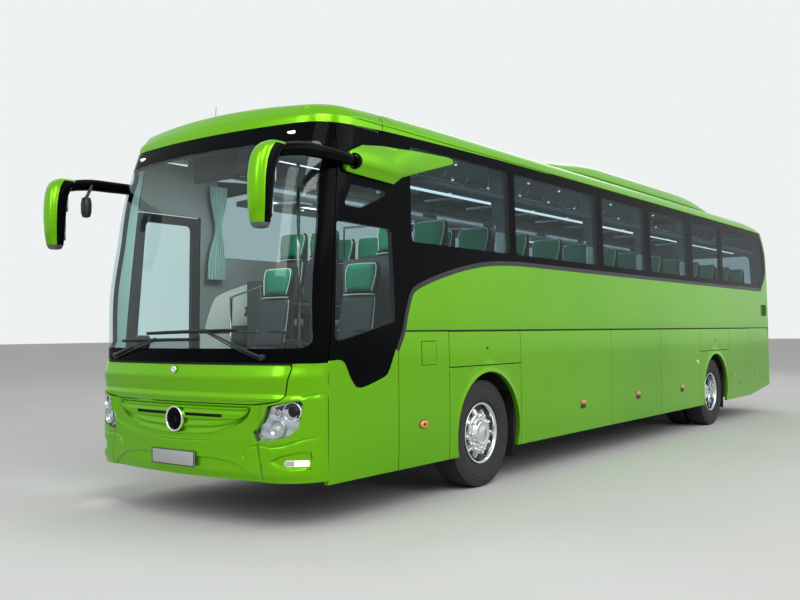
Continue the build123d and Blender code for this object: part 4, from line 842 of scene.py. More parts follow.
def flaps():
    """The top-hinged flaps of both sides with their handles, markers, locks and stiffeners."""
    bays = ("front_luggage_flap", "middle_luggage_flap", "rear_luggage_flap")
    spans = {LEFT: ((ARCH_REAR, BAY_1), (BAY_1, BAY_2), (BAY_2, REAR_ARCH_FRONT)),
             RIGHT: ((ARCH_REAR, BAY_1), (BAY_1, MID_DOOR[0]), (MID_DOOR[1], REAR_ARCH_FRONT))}
    for side in (LEFT, RIGHT):
        for name, (low, high) in zip(bays, spans[side]):
            body, s0, s1 = flap(side, name, low, high, SKIRT)
            s = s1 - 0.82 if low == ARCH_REAR else (s0 + s1) / 2
            shape = Shape()
            side_box(shape, side, s, 0.640, 0.13, 0.05, (-0.0115, 0.0025), 0.004)
            bar_x = side * (HALF + 0.0045)
            shape.tube([(bar_x, s - 0.0494, 0.644), (bar_x, s + 0.0494, 0.644)], 0.006, 8)
            shape.done(f"{body}_handle", (SATIN_BLACK,), body=body)
            marker(f"{name}_marker", side, s, 0.693, body)
    for side in (LEFT, RIGHT):
        for name, low, high, foot in (("front_arch_flap", ARCH_FRONT, ARCH_REAR, FRONT_ARCH_FOOT),
                                      ("rear_arch_flap", REAR_ARCH_FRONT, REAR_ARCH_REAR, REAR_ARCH_FOOT),
                                      ("engine_side_flap", REAR_ARCH_REAR, ENGINE_REAR, SKIRT)):
            body, s0, s1 = flap(side, name, low, high, foot)
            shape = Shape()
            shape.lathe(((-0.004, 0.0001), (0.003, 0.0001), (0.0035, 0.010), (0.002, 0.014), (-0.004, 0.015)),
                        (side * HALF, (s0 + s1) / 2, (foot + FLAP_TOP) / 2 if foot > 1 else 0.60), (side, 0, 0), 20,
                        shut=True)
            shape.done(f"{body}_lock", (SATIN_BLACK,), body=body)


def trim():
    """Belt seam, grey strips and small fittings of both sides."""
    for side in (LEFT, RIGHT):
        word, face = WORD[side], side_face(side)
        stops = ([(UPPER_START, SIDE_END)] if side == LEFT else
                 [(UPPER_START, MID_DOOR[0] - 0.006), (MID_DOOR[1] + 0.006, SIDE_END)])
        for number, (s0, s1) in enumerate(stops):
            side_piece(f"belt_seal_{number}", side, rectangle(s0, FLAP_TOP + 0.004, s1, WALL_FOOT + 0.002, 0.003),
                       face=face, materials=(SEAL, SEAL), lift=-0.006, depth=0.02, rings=(), cell=0.3)
        lines = [[p for p in SWOOP_LINE if p[0] >= 1.300]]
        end = [(12.30, BAND), (12.433, 2.236)]
        if side == LEFT:
            lines[0] += end
        else:
            lines = [lines[0] + [(MID_DOOR[0] - 0.01, BAND)], [(MID_DOOR[1] + 0.01, BAND)] + end]
        for number, line in enumerate(lines):
            line = np.array(line if len(line) > 3 else line + [(line[-1][0] + 0.001, line[-1][1])])
            ahead = np.gradient(line, axis=0)
            ahead /= np.linalg.norm(ahead, axis=1)[:, None]
            below = line + 0.045 * np.stack((ahead[:, 1], -ahead[:, 0]), 1)
            side_piece(f"trim_strip_{number}", side, np.vstack((line, below[::-1])), face=face, lift=0.003, depth=0.006,
                       materials=(STRIP_GREY, STRIP_GREY), rings=(), cell=0.15, roll=0.002)
        shape = Shape()
        turns = [2 * math.pi * n / 28 for n in range(28)]
        for radius, out, slot in ((0.040, 0.004, 1), (0.034, 0.012, 0), (0.013, 0.015, 1)):
            shape.loft([[(side * (HALF + depth), 1.699 + 1.75 * radius * share * math.cos(turn),
                          0.711 + radius * share * math.sin(turn)) for turn in turns]
                        for depth, share in ((-0.006, 1.0), (out * 0.6, 1.0), (out, 0.9), (out + 0.001, 0.02))], slot)
        shape.done(f"{word}_side_lamp", (AMBER, SATIN_BLACK))
        marker("rear_marker_0", side, 10.630, 0.753, f"{word}_engine_side_flap", 0.070, 0.030)
        marker("rear_marker_1", side, 11.939, 0.767, "coach", 0.070, 0.030)
        shape = Shape()
        for slot, profile in enumerate((
                ((-0.004, 0.020), (0.006, 0.022), (0.009, 0.028), (0.006, 0.034), (-0.004, 0.035)),
                ((-0.004, 0.0001), (0.002, 0.0001), (0.002, 0.020), (-0.004, 0.021)))):
            shape.lathe(profile, (side * HALF, REAR_ARCH_FRONT - 0.095, 1.020), (side, 0, 0), 28, slot)
        shape.done(f"{word}_silver_ring", (CHROME, SATIN_BLACK), body=f"{word}_rear_luggage_flap")
        marker("corner_reflector", side, 12.640, 0.640, "coach", 0.060, 0.034)
    shape = Shape()
    for k in range(6):
        z = 1.757 + 0.0305 * k
        shape.box((HALF - 0.040, 12.366, z), (HALF - 0.010, 12.708, z + 0.006), 0.001, 0, 1)
    shape.box((HALF - 0.048, 12.360, 1.738), (HALF - 0.044, 12.714, 1.943), 0.001, 1, 1)
    shape.done("left_vent_louvre", (PAINT, SATIN_BLACK))


# ---- window band and doors --------------------------------------------------------------------------
WINDOWS = ((1.560, 3.270), (3.400, 5.390), (5.560, 6.930), (7.110, 8.580), (8.790, 10.090))
WINDOW_FOOT, WINDOW_HEAD = 2.300, 3.140
JOINTS = (3.335, 5.475, 7.020, 8.685, 10.160)
LAST_WINDOW = ((10.230, WINDOW_FOOT), (12.330, WINDOW_FOOT), (12.560, 2.440), (12.645, 2.560), (12.660, 2.700),
               (12.630, 2.850), (12.540, 3.020), (12.420, WINDOW_HEAD), (10.230, WINDOW_HEAD))
DRIVER_WINDOW = ((0.515, 1.440), (1.300, 1.600), (1.270, 2.385), (0.560, 2.400))
VENT_WINDOW = ((0.655, 2.528), (0.880, 2.522), (1.190, 2.650), (1.190, 2.700), (0.752, 2.702))
FRONT_DOOR_GLASS = ((0.545, 1.020), (1.235, 1.020), (1.235, 2.590), (0.668, 2.590))
MID_DOOR_GLASS = ((7.540, 1.230), (8.100, 1.230), (8.100, 2.110), (7.540, 2.110))
FLUSH, PANE_ROLL, JOINT_HALF = 0.0007, 0.0006, 0.002


def flush_in(hole):
    """Outline of a pane that lies flush in its opening."""
    loop = turned_ccw(hole)
    return loop + FLUSH * left_normals(loop)


def band_outline(side, number):
    """One panel of the glazing band between two joints."""
    if number:
        s0 = JOINTS[number - 1] + JOINT_HALF
        if number == len(JOINTS):
            return [(s0, BAND)] + REAR_LINE + [(12.45, SEAM_Z), (s0, SEAM_Z)]
        s1 = JOINTS[number] - JOINT_HALF
        return [(s0, BAND), (s1, BAND), (s1, SEAM_Z), (s0, SEAM_Z)]
    end, foot = JOINTS[0] - JOINT_HALF, VISOR_FOOT - LAP
    outline = [p for p in SWOOP_LINE if 1.400 < p[0] < JOINTS[0] - 0.01]
    outline += [(end, 2.2235), (end, SEAM_Z), (VISOR_SEAM + LAP, SEAM_Z), (VISOR_SEAM + LAP, foot)]
    cap = (cap_seam(VISOR_FOOT) + LAP, foot)
    if side == LEFT:
        lower = [p for p in SWOOP_LINE if p[0] < UPPER_START]
        return [(0.446, 1.304)] + lower[1:] + outline + [cap, (cap_seam(2.2) + LAP, 2.2)]
    head = DOOR_HEAD + LAP
    return [(1.400, 1.545)] + outline + [cap, (cap_seam(DOOR_HEAD) + LAP, head), (DOOR_REAR, head), (DOOR_REAR, 1.525)]


def band():
    """Black glazing band of both sides with its flush panes."""
    for side in (LEFT, RIGHT):
        face = side_face(side)
        for number in range(len(JOINTS) + 1):
            last = number == len(JOINTS)
            box = LAST_WINDOW if last else four(WINDOWS[number][0], WINDOW_FOOT, WINDOWS[number][1], WINDOW_HEAD)
            holes = [rounded(box, 0.05)]
            if side == LEFT and number == 0:
                holes += [rounded(DRIVER_WINDOW, 0.045), rounded(VENT_WINDOW, 0.02)]
            side_piece(f"band_{number}", side, band_outline(side, number), holes, face=face, roll=0.0012, cell=0.10,
                       materials=(GLOSS_BLACK, DARK_LINING))
            for index, hole in enumerate(holes):
                side_piece(f"pane_{number}_{index}", side, flush_in(hole), face=face, roll=PANE_ROLL, depth=0.006,
                           rings=(), cell=0.12, materials=(DRIVER_GLASS if index else SIDE_GLASS,) * 2,
                           node="windows" if side == RIGHT and number == index == 0 else None)


def doors():
    """Front and middle doors with their panes, seals and inner grab rails."""
    face, foot = side_face(RIGHT), SKIRT + GAP
    front = [(CAP_SEAM + GAP, foot), (CAP_SEAM + GAP, MASK_FOOT), (cap_seam(DOOR_HEAD) + GAP, DOOR_HEAD - GAP),
             (DOOR_REAR - GAP, DOOR_HEAD - GAP), (DOOR_REAR - GAP, foot)]
    middle = [(MID_DOOR[0] + GAP, foot), (MID_DOOR[0] + GAP, BAND - 0.048), (MID_DOOR[1] - GAP, BAND - 0.048),
              (MID_DOOR[1] - GAP, foot)]
    for body, outline, pane, surface, z in (("front_door", front, FRONT_DOOR_GLASS, DRIVER_GLASS, 1.02),
                                            ("mid_door", middle, MID_DOOR_GLASS, SIDE_GLASS, 1.15)):
        hole = rounded(pane, 0.05)
        skin(f"{body}_skin", face, rounded(outline, 0.02), [hole], cell=0.09, depth=0.045, rings=(0.02,), flip=True,
             materials=(PAINT, SATIN_BLACK), wall=1, body=body, node=body)
        skin(f"{body}_pane", face, flush_in(hole), roll=PANE_ROLL, depth=0.006, cell=0.12, flip=True,
             materials=(surface,), body=body, node=f"{body}_glass")
        shape = Shape()
        s0, s1 = min(p[0] for p in pane) + 0.04, max(p[0] for p in pane) - 0.04
        x = -(HALF - 0.085)
        shape.tube([(x + 0.035, s0, z), (x, s0 + 0.02, z), (x, s1 - 0.02, z), (x + 0.035, s1, z)], 0.014)
        shape.done(f"{body}_rail", (CHROME,), body=body)


# ---- front ------------------------------------------------------------------------------------------
SCREEN = ((-1.236, 1.400), (1.236, 1.400), (1.220, 2.350), (1.186, 3.020), (0.600, 3.040), (-0.600, 3.040),
          (-1.186, 3.020), (-1.220, 2.350))
FRONT_FLAP = ((-0.820, 0.975), (0.820, 0.975), (0.955, 0.988), (1.050, 1.006), (1.093, 1.034), (1.133, 1.222),
              (1.133, 1.273), (-1.133, 1.273), (-1.133, 1.222), (-1.093, 1.034), (-1.050, 1.006), (-0.955, 0.988))
GRILLE = ((-0.797, 0.955), (0.797, 0.955), (0.770, 0.890), (0.690, 0.828), (0.400, 0.741), (0, 0.712),
          (-0.400, 0.741), (-0.690, 0.828), (-0.770, 0.890))
HEADLAMP = ((0.963, 0.968), (1.213, 1.015), (1.187, 0.809), (1.117, 0.735), (0.861, 0.690), (0.840, 0.775),
            (0.929, 0.873))
FOG_LAMP = ((1.087, 0.515), (1.235, 0.515), (1.235, 0.563), (1.087, 0.563))
BADGE_Z, BADGE_RADIUS, FRONT_PLATE_Z, REAR_PLATE_Z, PLATE_HALF = 0.834, 0.105, 0.528, 0.700, (0.260, 0.0625)
BUMPER_FOOT = 0.390


def t_at(s, z, nose=True):
    """Arc length at which the front or rear surface reaches a station at a height."""
    end = (float(front_at(z)) if z > SEAM else 0.0) if nose else float(rear_at(z))
    low, high = 0.0, 3.0
    for _ in range(50):
        middle = (low + high) / 2
        if wrap_plan(np.array(middle), float(half_at(z)), end, NOSE if nose else TAIL)[1] < (s if nose else LENGTH - s):
            low = middle
        else:
            high = middle
    return low


def wrapped(points, radius=0.0, upper=False, shape=NOSE):
    """Outline in X and height turned into arc lengths, with rounded corners."""
    points = rounded(points, radius) if radius else np.array([p[:2] for p in points])
    if radius or shape is TAIL:
        points = resampled(points, 0.06)
    return np.array([(wrap_t(x, float(half_at(z)) if upper else HALF, shape), z) for x, z in points])


def cap_edge(z0, z1, steps, nose=True):
    """Arc lengths of a cap's side edge between two heights."""
    heights = [z0 + (z1 - z0) * k / steps for k in range(steps + 1)]
    return [(t_at(cap_seam(z) - LAP if nose else TAIL_SEAM + LAP, z, nose), z) for z in heights]


def step_down(v, start, end):
    """0 before start, 1 past end, eased between."""
    u = np.clip((v - start) / (end - start), 0, 1)
    return u * u * (3 - 2 * u)


def flap_relief(t, z):
    """Front flap: a soft crease under its top edge and a shoulder near its foot."""
    upper = 0.026 * step_down(z, 1.175, 1.285)
    shoulder = 0.014 * step_down(z, 1.020, 1.050) * (1 - step_down(z, 1.060, 1.160))
    return upper + shoulder + 0.018 * (1 - step_down(z, 0.975, 1.015))


# lines of the bumper, in arc length and height
MASK_CURVE = np.array(((0.0, 0.663), (0.37, 0.679), (0.543, 0.704), (0.691, 0.734), (0.839, 0.770), (0.93, 0.873),
                       (0.97, 0.968)))
CHARACTER = np.array(((0.262, 0.556), (0.40, 0.556), (0.52, 0.549), (0.62, 0.535), (0.70, 0.512), (0.77, 0.480),
                      (0.83, 0.445), (0.875, 0.412), (0.90, 0.380)))
CORNER_SEAM = np.array(((0.872, 0.686), (0.885, 0.620), (0.900, 0.540), (0.912, 0.460), (0.918, 0.392)))
BROW_LINE = np.array(((0.905, 0.672), (0.98, 0.660), (1.06, 0.664), (1.14, 0.684), (1.22, 0.708), (1.30, 0.722),
                      (1.36, 0.727)))
CAP_LINE = np.array(((1.255, 1.036), (1.29, 1.043), (1.33, 1.048), (1.37, 1.050)))
CHIN = np.array(((0.745, 0.585), (0.757, 0.618), (0.785, 0.645), (0.825, 0.660), (0.868, 0.664)))
SCOOP = np.array(((0.985, 0.548), (1.06, 0.596), (1.18, 0.622), (1.285, 0.634), (1.300, 0.560), (1.285, 0.492),
                  (1.17, 0.486), (1.05, 0.510)))
# columns: line of a groove, depth, flat half, half width, half width of its middle rows
GROOVES = ((CORNER_SEAM, 0.012, 0.0015, 0.0055, 0.0025), (BROW_LINE, 0.008, 0.001, 0.006, 0.003),
           (CAP_LINE, 0.008, 0.001, 0.005, 0.0025), (CHIN, 0.007, 0.001, 0.010, 0.005))


def from_run(t, z, run):
    """Distance of points from an open run of lines."""
    points = np.stack((t, z), -1)
    best = np.full(t.shape, 9.0)
    for a, b in zip(run[:-1], run[1:]):
        along = np.clip(((points - a) @ (b - a)) / ((b - a) @ (b - a)), 0, 1)
        best = np.minimum(best, np.linalg.norm(points - a - along[..., None] * (b - a), axis=-1))
    return best


def parallel(run, shift):
    """Open run moved sideways."""
    forward = np.gradient(run, axis=0)
    forward /= np.linalg.norm(forward, axis=1)[:, None]
    return run + shift * np.stack((-forward[:, 1], forward[:, 0]), 1)


def fine_run(run, step=0.018):
    """Open run divided evenly."""
    reach = np.concatenate(([0.0], np.cumsum(np.linalg.norm(np.diff(run, axis=0), axis=1))))
    at = np.linspace(0, reach[-1], max(2, math.ceil(reach[-1] / step) + 1))
    return np.stack((np.interp(at, reach, run[:, 0]), np.interp(at, reach, run[:, 1])), 1)


def bumper_relief(t, z):
    """Bumper: sunk surround of the grille, character lines, grooves and the fog lamp's scoop."""
    reach = np.abs(t)
    lip = np.interp(np.clip(reach, 0, 0.86), MASK_CURVE[:, 0], MASK_CURVE[:, 1])
    sunk = 0.022 * step_down(z, lip, lip + 0.016) * (1 - step_down(reach, 0.86, 0.93)) * (1 - step_down(z, 0.97, 1.03))
    top = flap_relief(t, z) * step_down(z, 0.99, 1.04)
    foot = 0.022 * (1 - step_down(z, BUMPER_FOOT, BUMPER_FOOT + 0.07))
    line = np.interp(reach, CHARACTER[:, 0], CHARACTER[:, 1])
    under = 0.016 * step_down(line - z, 0.0, 0.014) * step_down(reach, 0.262, 0.30) * (1 - step_down(reach, 0.86, 0.90))
    relief = sunk + top + foot + np.where(reach < 0.30, 0.016 * step_down(0.556 - z, 0.0, 0.014), under)
    for run, depth, start, end, _ in GROOVES:
        relief = relief + depth * (1 - step_down(from_run(reach, z, run), start, end))
    within = inside(np.stack((reach, z), -1).reshape(-1, 2), [SCOOP]).reshape(reach.shape)
    return relief + np.where(within, 0.018 * step_down(from_run(reach, z, closed(SCOOP)), 0.0, 0.016), 0.0)


def bumper_lines():
    """Runs that the bumper's faces follow, so that its creases are clean."""
    lip = np.array([(t, np.interp(t, MASK_CURVE[:, 0], MASK_CURVE[:, 1])) for t in np.linspace(0.0, 0.86, 44)])
    runs = [lip + (0, rise) for rise in (-0.006, 0.0, 0.004, 0.008, 0.012, 0.016, 0.022)]
    line = fine_run(CHARACTER)
    runs += [line - (0, drop) for drop in (-0.006, 0.0, 0.0035, 0.007, 0.0105, 0.014, 0.020)]
    for run, _, _, end, half in GROOVES:
        runs += [parallel(fine_run(run), shift) for shift in (-end, -half, 0.0, half, end)]
    runs.append(fine_run(closed(SCOOP)))
    runs += [fine_run(closed(offset_outline(SCOOP, -inset))) for inset in (0.005, 0.010, 0.016)]
    return runs + [run * (-1, 1) for run in runs]


def front():
    """Mask, windscreen, bumper, flap and the flap's disc."""
    edge = cap_edge(MASK_FOOT, VISOR_FOOT - LAP, 30)
    hole = wrapped(SCREEN, 0.07, upper=True)
    skin("front_mask_skin", front_face(), mirrored(edge) + edge, [hole], cell=0.09, roll=0.002, depth=0.045,
         materials=(GLOSS_BLACK, TRIM), rings=(0.02,), node="front_mask")
    skin("windscreen_pane", front_face(), flush_in(hole), roll=PANE_ROLL, depth=0.007, cell=0.09,
         materials=(SCREEN_GLASS,), node="windscreen")
    reach = t_at(cap_seam(1.29) - 0.010, 1.29)
    skin("front_ledge_seal", front_face(), four(-reach, 1.262, reach, 1.306), roll=0.002, depth=0.016, lift=-0.012,
         materials=(SEAL,))
    lower = cap_edge(BUMPER_FOOT, SEAM, 8)
    notch = [tuple(p) for p in wrapped(offset_outline(FRONT_FLAP, 0.007)) if p[1] < 1.270 and p[0] > 0]
    notch = [(wrap_t(1.140), SEAM)] + sorted(notch, key=lambda p: -p[1])
    holes = [wrapped(offset_outline(GRILLE, 0.001), 0.02)]
    for points, radius in ((HEADLAMP, 0.03), (FOG_LAMP, 0.012)):
        holes += [wrapped(points, radius), wrapped(mirrored(points), radius)]
    skin("front_bumper_skin", front_face(bumper_relief, lower=True), mirrored(lower) + lower + notch + mirrored(notch),
         holes, cell=0.024, materials=(PAINT, SATIN_BLACK), lines=bumper_lines(), node="front_bumper")
    skin("front_flap_skin", front_face(flap_relief, lower=True), wrapped(FRONT_FLAP, 0.018), cell=0.02, depth=0.012,
         materials=(PAINT, SATIN_BLACK), body="front_flap", node="front_flap")
    shape = Shape()
    shape.lathe(((-0.004, 0.0001), (0.010, 0.0001), (0.012, 0.018), (0.011, 0.027), (0.006, 0.031), (-0.004, 0.032)),
                (0, 0.004, 1.232), (0, -1, 0.12), 36, shut=True)
    shape.done("front_flap_disc", (CHROME,), body="front_flap")


GRILLE_SPAN, SLOT_FOOT, SLOT_HEAD = 0.792, 0.862, 0.893
# share of the grille's height, up from its lower edge, and how far the surface is sunk there
GRILLE_LIPS = ((0.0, 0.008), (0.035, 0.006), (0.06, 0.009), (0.085, 0.026), (0.17, 0.029), (0.20, 0.020),
               (0.225, 0.010), (0.26, 0.008), (0.285, 0.013), (0.31, 0.026), (0.40, 0.029), (0.425, 0.018),
               (0.45, 0.010), (0.50, 0.008), (0.62, 0.008), (0.66, 0.010), (0.69, 0.022), (0.78, 0.026), (0.81, 0.018),
               (0.84, 0.009), (0.90, 0.007), (0.93, 0.012), (0.955, 0.026), (1.0, 0.028))
lip_depth = smooth_line(GRILLE_LIPS)
grille_foot = smooth_line(sorted(p for p in GRILLE if p[0] >= 0 and p[1] < 0.955) + [(0.797, 0.955)])


def grille_place(uv):
    """Surface of the grille in (arc length, share of its height), with its slots' edges level."""
    t, f = uv[:, 0], uv[:, 1]
    lower = grille_foot(np.abs(t))
    upper = np.maximum(0.956, lower + 0.004)
    foot = np.maximum(SLOT_FOOT, lower + 0.30 * (upper - lower))
    head = np.maximum(SLOT_HEAD, lower + 0.45 * (upper - lower))
    z = np.where(f < 0.5, lower + (foot - lower) * f / 0.5,
                 np.where(f < 0.62, foot + (head - foot) * (f - 0.5) / 0.12, head + (upper - head) * (f - 0.62) / 0.38))
    x, y = wrap_plan(t, HALF, FRONT)
    return np.stack((x, y + 0.010 + lip_depth(f), z), 1)


def grille():
    """Green field with contour lips, two dark slots and a plain disc in its ring."""
    spans = np.linspace(-GRILLE_SPAN, GRILLE_SPAN, 45)
    slots = []
    for side in (1, -1):
        ts = side * np.linspace(0.112, 0.520, 12)
        slots.append([(t, 0.512) for t in ts] + [(t, 0.608) for t in ts[::-1]])
    reach = np.linspace(-GRILLE_SPAN + 0.004, GRILLE_SPAN - 0.004, 57)
    skin("grille_field", grille_place, [(t, 0.0) for t in spans] + [(t, 1.0) for t in spans[::-1]], slots, cell=0.04,
         roll=0.001, depth=0.008, materials=(PAINT, SATIN_BLACK), node="grille_panel",
         lines=[[(t, f) for t in reach] for f, _ in GRILLE_LIPS[1:-1]])
    shape = Shape()
    for side in (1, -1):
        shape.loft([[(side * x, screen_s(side * x, 0.8, -sunk), z) for z, sunk in
                     ((0.850, 0.050), (0.905, 0.050), (0.905, 0.060), (0.850, 0.060))]
                    for x in np.linspace(0.095, 0.540, 12)])
        for z in (0.869, 0.8775, 0.886):
            shape.tube([(side * x, screen_s(side * x, 0.8, -0.034), z) for x in np.linspace(0.105, 0.530, 10)],
                       0.0022, 6)
    shape.done("grille_slot_backs", (SATIN_BLACK,), slot="green_paint")
    shape, centre, r = Shape(), (0, 0.006, BADGE_Z), BADGE_RADIUS
    shape.lathe(((-0.018, r - 0.016), (0.004, r - 0.016), (0.009, r - 0.010), (0.009, r - 0.005), (0.003, r),
                 (-0.018, r)), centre, (0, -1, 0), 56, shut=True)
    shape.lathe(((-0.012, 0.0001), (0.0035, 0.0001), (0.003, 0.04), (0.001, 0.072), (-0.002, r - 0.017),
                 (-0.012, r - 0.016)), centre, (0, -1, 0), 56, 1, shut=True)
    shape.done("front_disc", (CHROME, GLOSS_BLACK))


def bowl_relief(t, z):
    """Floor of a headlamp: stepped facets, with upright ribs in its lower inner corner."""
    reach = np.abs(t)
    ribs = 0.006 * np.abs(((reach / 0.016) % 1.0) * 2 - 1) * (1 - step_down(z, 0.760, 0.775))
    return 0.040 + ribs * (1 - step_down(reach, 0.985, 1.0)) + 0.010 * np.abs(((z + 0.3 * reach) / 0.075) % 1.0 - 0.5)


def lens_relief(t, z):
    return 0.002 + 0 * t


def fog_relief(t, z):
    return 0.022 + 0.003 * np.cos(2 * math.pi * t / 0.024)


def lamp_units():
    """Headlamps with two reflectors each and fog lamps, behind clear lenses."""
    for side in (LEFT, RIGHT):
        word = WORD[side]
        points, fog = (outline if side > 0 else mirrored(outline) for outline in (HEADLAMP, FOG_LAMP))
        dark, ribbed = ([(side * x, z) for x, z in outline] for outline in (
            ((1.000, 0.955), (1.225, 1.030), (1.222, 0.985), (1.02, 0.925)), four(1.080, 0.510, 1.150, 0.568)))
        lens, bowl = (wrapped(offset_outline(points, grow), 0.03) for grow in (-0.0015, -0.004))
        skin(f"{word}_headlamp_lens", front_face(lens_relief, lower=True), lens, cell=0.03, roll=0.004, depth=0.01,
             materials=(LENS_GLASS,), back=False, node="headlamps" if side == LEFT else None)
        skin(f"{word}_headlamp_bowl", front_face(bowl_relief, lower=True), bowl, cell=0.008, roll=0.001, depth=0.004,
             materials=(SILVER, SATIN_BLACK), back=False, patches=[(wrapped(dark), 1)])
        shape = Shape()
        # columns: x, z, radius, slot of the bowl, slot of the bulb cap, its share of the radius
        for x, z, radius, slot, cap, share in ((1.142, 0.925, 0.068, 1, 3, 0.62), (1.036, 0.797, 0.062, 0, 2, 0.34),
                                               (1.040, 0.912, 0.026, 0, 4, 0.34)):
            t = wrap_t(x)
            x, s = wrap_plan(np.array(t), HALF, 0.0)
            turn, _, nose, _ = plan_arc(HALF, NOSE)
            angle = min(t / NOSE[0], turn) + max(0, t - nose) / NOSE[1]
            axis = Vector((side * math.sin(angle) * 0.55, -1, 0)).normalized()
            origin = Vector((side * float(x), float(s), z)) - axis * 0.026
            shape.lathe(((-0.030, 0.0001), (-0.028, radius * 0.4), (-0.020, radius * 0.7), (-0.006, radius * 0.93),
                         (0.004, radius), (0.006, radius + 0.005), (0.000, radius + 0.008), (-0.03, radius + 0.008)),
                        origin, axis, 40, slot)
            dome = radius * share
            shape.lathe(((-0.026, dome), (-0.012, dome), (-0.006, dome * 0.93), (0.0, dome * 0.72),
                         (0.004, dome * 0.40), (0.005, 0.0001)), origin, axis, 28, cap)
        shape.done(f"{word}_headlamp_reflectors", (SILVER, CHROME, WHITE_LENS, GLOSS_BLACK, AMBER))
        skin(f"{word}_fog_lamp", front_face(fog_relief, lower=True), wrapped(offset_outline(fog, -0.002), 0.012),
             cell=0.006, roll=0.002, depth=0.012, materials=(BEAM, SILVER), patches=[(wrapped(ribbed), 1)])


def plates():
    """Blank number plates in thin black frames."""
    shape, (w, h), bar = Shape(), PLATE_HALF, 0.007
    for s0, s1, face, z in ((-0.012, -0.003, -0.012, FRONT_PLATE_Z), (LENGTH - 0.012, LENGTH - 0.004, LENGTH - 0.004,
                                                                      REAR_PLATE_Z)):
        out = -1 if s0 < 0 else 1
        shape.box((-w, s0, z - h), (w, s1, z + h), 0.002)
        for x0, z0, x1, z1 in ((-w, h - bar, w, h), (-w, -h, w, bar - h), (-w, -h, bar - w, h), (w - bar, -h, w, h)):
            shape.box((x0, face - out * 0.003, z + z0), (x1, face + out * 0.002, z + z1), 0.001, 1)
    shape.done("blank_plates", (PLATE_MAT, SATIN_BLACK), node="number_plates")


# ---- rear -------------------------------------------------------------------------------------------
REAR_SCREEN = ((-0.930, 2.230), (0.930, 2.230), (0.900, 2.900), (-0.900, 2.900))
TAIL_LAMP = ((0.940, 1.010), (1.130, 1.010), (1.130, 1.760), (1.000, 1.760))
TAIL_FOOT, ENGINE_FLAP_HALF, ENGINE_FLAP_HEAD = 0.905, 0.860, 1.960


def tail_wrapped(points, radius=0.0):
    return wrapped(points, radius, upper=True, shape=TAIL)


def tail_surface(uv):
    """Rear surface over its whole height."""
    t, z = uv[:, 0], uv[:, 1]
    x, back = wrap_plan(t, half_at(z), rear_at(z), TAIL)
    return np.stack((x, REAR - back, z), 1)


def louvre_surface(uv):
    """Engine flap with a field of horizontal louvres."""
    place = tail_surface(uv)
    t, z = uv[:, 0], uv[:, 1]
    field = step_down(0.70 - np.abs(t), 0, 0.02) * step_down(z, 1.28, 1.30) * (1 - step_down(z, 1.80, 1.82))
    place[:, 1] -= field * 0.012 * np.clip(((z - 1.28) / 0.052) % 1.0 / 0.8, 0, 1)
    return place


def rear():
    """Rear wall, screen, lamps, engine flap and bumper."""
    edge = cap_edge(TAIL_FOOT, EAVES - 0.005, 40, nose=False)
    t_flap, t_edge = (wrap_t(x, HALF, TAIL) for x in (ENGINE_FLAP_HALF + GAP, ENGINE_FLAP_HALF))
    notch = [(-t_flap, TAIL_FOOT), (-t_flap, ENGINE_FLAP_HEAD + 0.024), (t_flap, ENGINE_FLAP_HEAD + 0.024),
             (t_flap, TAIL_FOOT)]
    holes = [tail_wrapped(REAR_SCREEN, 0.08), tail_wrapped(TAIL_LAMP, 0.03), tail_wrapped(mirrored(TAIL_LAMP), 0.03)]
    skin("rear_wall_skin", tail_surface, mirrored(edge) + notch + edge, holes, cell=0.06, depth=0.045, flip=True,
         materials=(PAINT, DARK_LINING), rings=(0.02,), node="rear_wall")
    skin("rear_screen", tail_surface, flush_in(holes[0]), roll=PANE_ROLL, depth=0.007, cell=0.1, flip=True,
         materials=(SIDE_GLASS,))
    for side in (LEFT, RIGHT):
        points = offset_outline(TAIL_LAMP if side > 0 else mirrored(TAIL_LAMP), -0.0015)
        x0, x1 = sorted((side * 0.93, side * 1.14))
        skin(f"{WORD[side]}_tail_lamp", tail_surface, tail_wrapped(points, 0.028), cell=0.03, roll=0.006, depth=0.04,
             flip=True, materials=(RED_LENS, AMBER, WHITE_LENS), node="tail_lamps" if side == LEFT else None,
             patches=[(tail_wrapped(four(x0, 1.03, x1, 1.20)), 2), (tail_wrapped(four(x0, 1.34, x1, 1.47)), 1)])
    skin("engine_flap_skin", louvre_surface, rectangle(-t_edge, TAIL_FOOT, t_edge, ENGINE_FLAP_HEAD, 0.02), cell=0.05,
         depth=0.028, flip=True, stretch=0.13, materials=(PAINT, SATIN_BLACK), body="engine_flap", node="engine_flap")
    t_side = t_at(TAIL_SEAM + LAP, 0.6, False)
    w, h = PLATE_HALF[0] + 0.004, PLATE_HALF[1] + 0.004
    foot = [(-t_side, 0.476), (-t_side + 0.30, 0.502), (t_side - 0.30, 0.502), (t_side, 0.476)]
    skin("rear_bumper_skin", tail_surface, foot + [(t_side, TAIL_FOOT - GAP), (-t_side, TAIL_FOOT - GAP)],
         [tail_wrapped(four(-w, REAR_PLATE_Z - h, w, REAR_PLATE_Z + h), 0.006)], cell=0.06, roll=0.006, depth=0.04,
         flip=True, materials=(PAINT, SATIN_BLACK), rings=(0.02,), node="rear_bumper")


# ---- roof -------------------------------------------------------------------------------------------
EAVES_RINGS = (0.002, 0.006, 0.012, 0.022, 0.034, 0.05, 0.07, 0.095, 0.125, 0.16, 0.22, 0.30)
LIP_LINE = ((VISOR_SEAM + 0.003, 3.208), (1.65, 3.219), (2.107, 3.228), (2.60, 3.235), (3.065, 3.240), (4.20, 3.2445),
            (4.20, 3.250), (VISOR_SEAM + 0.003, 3.250))


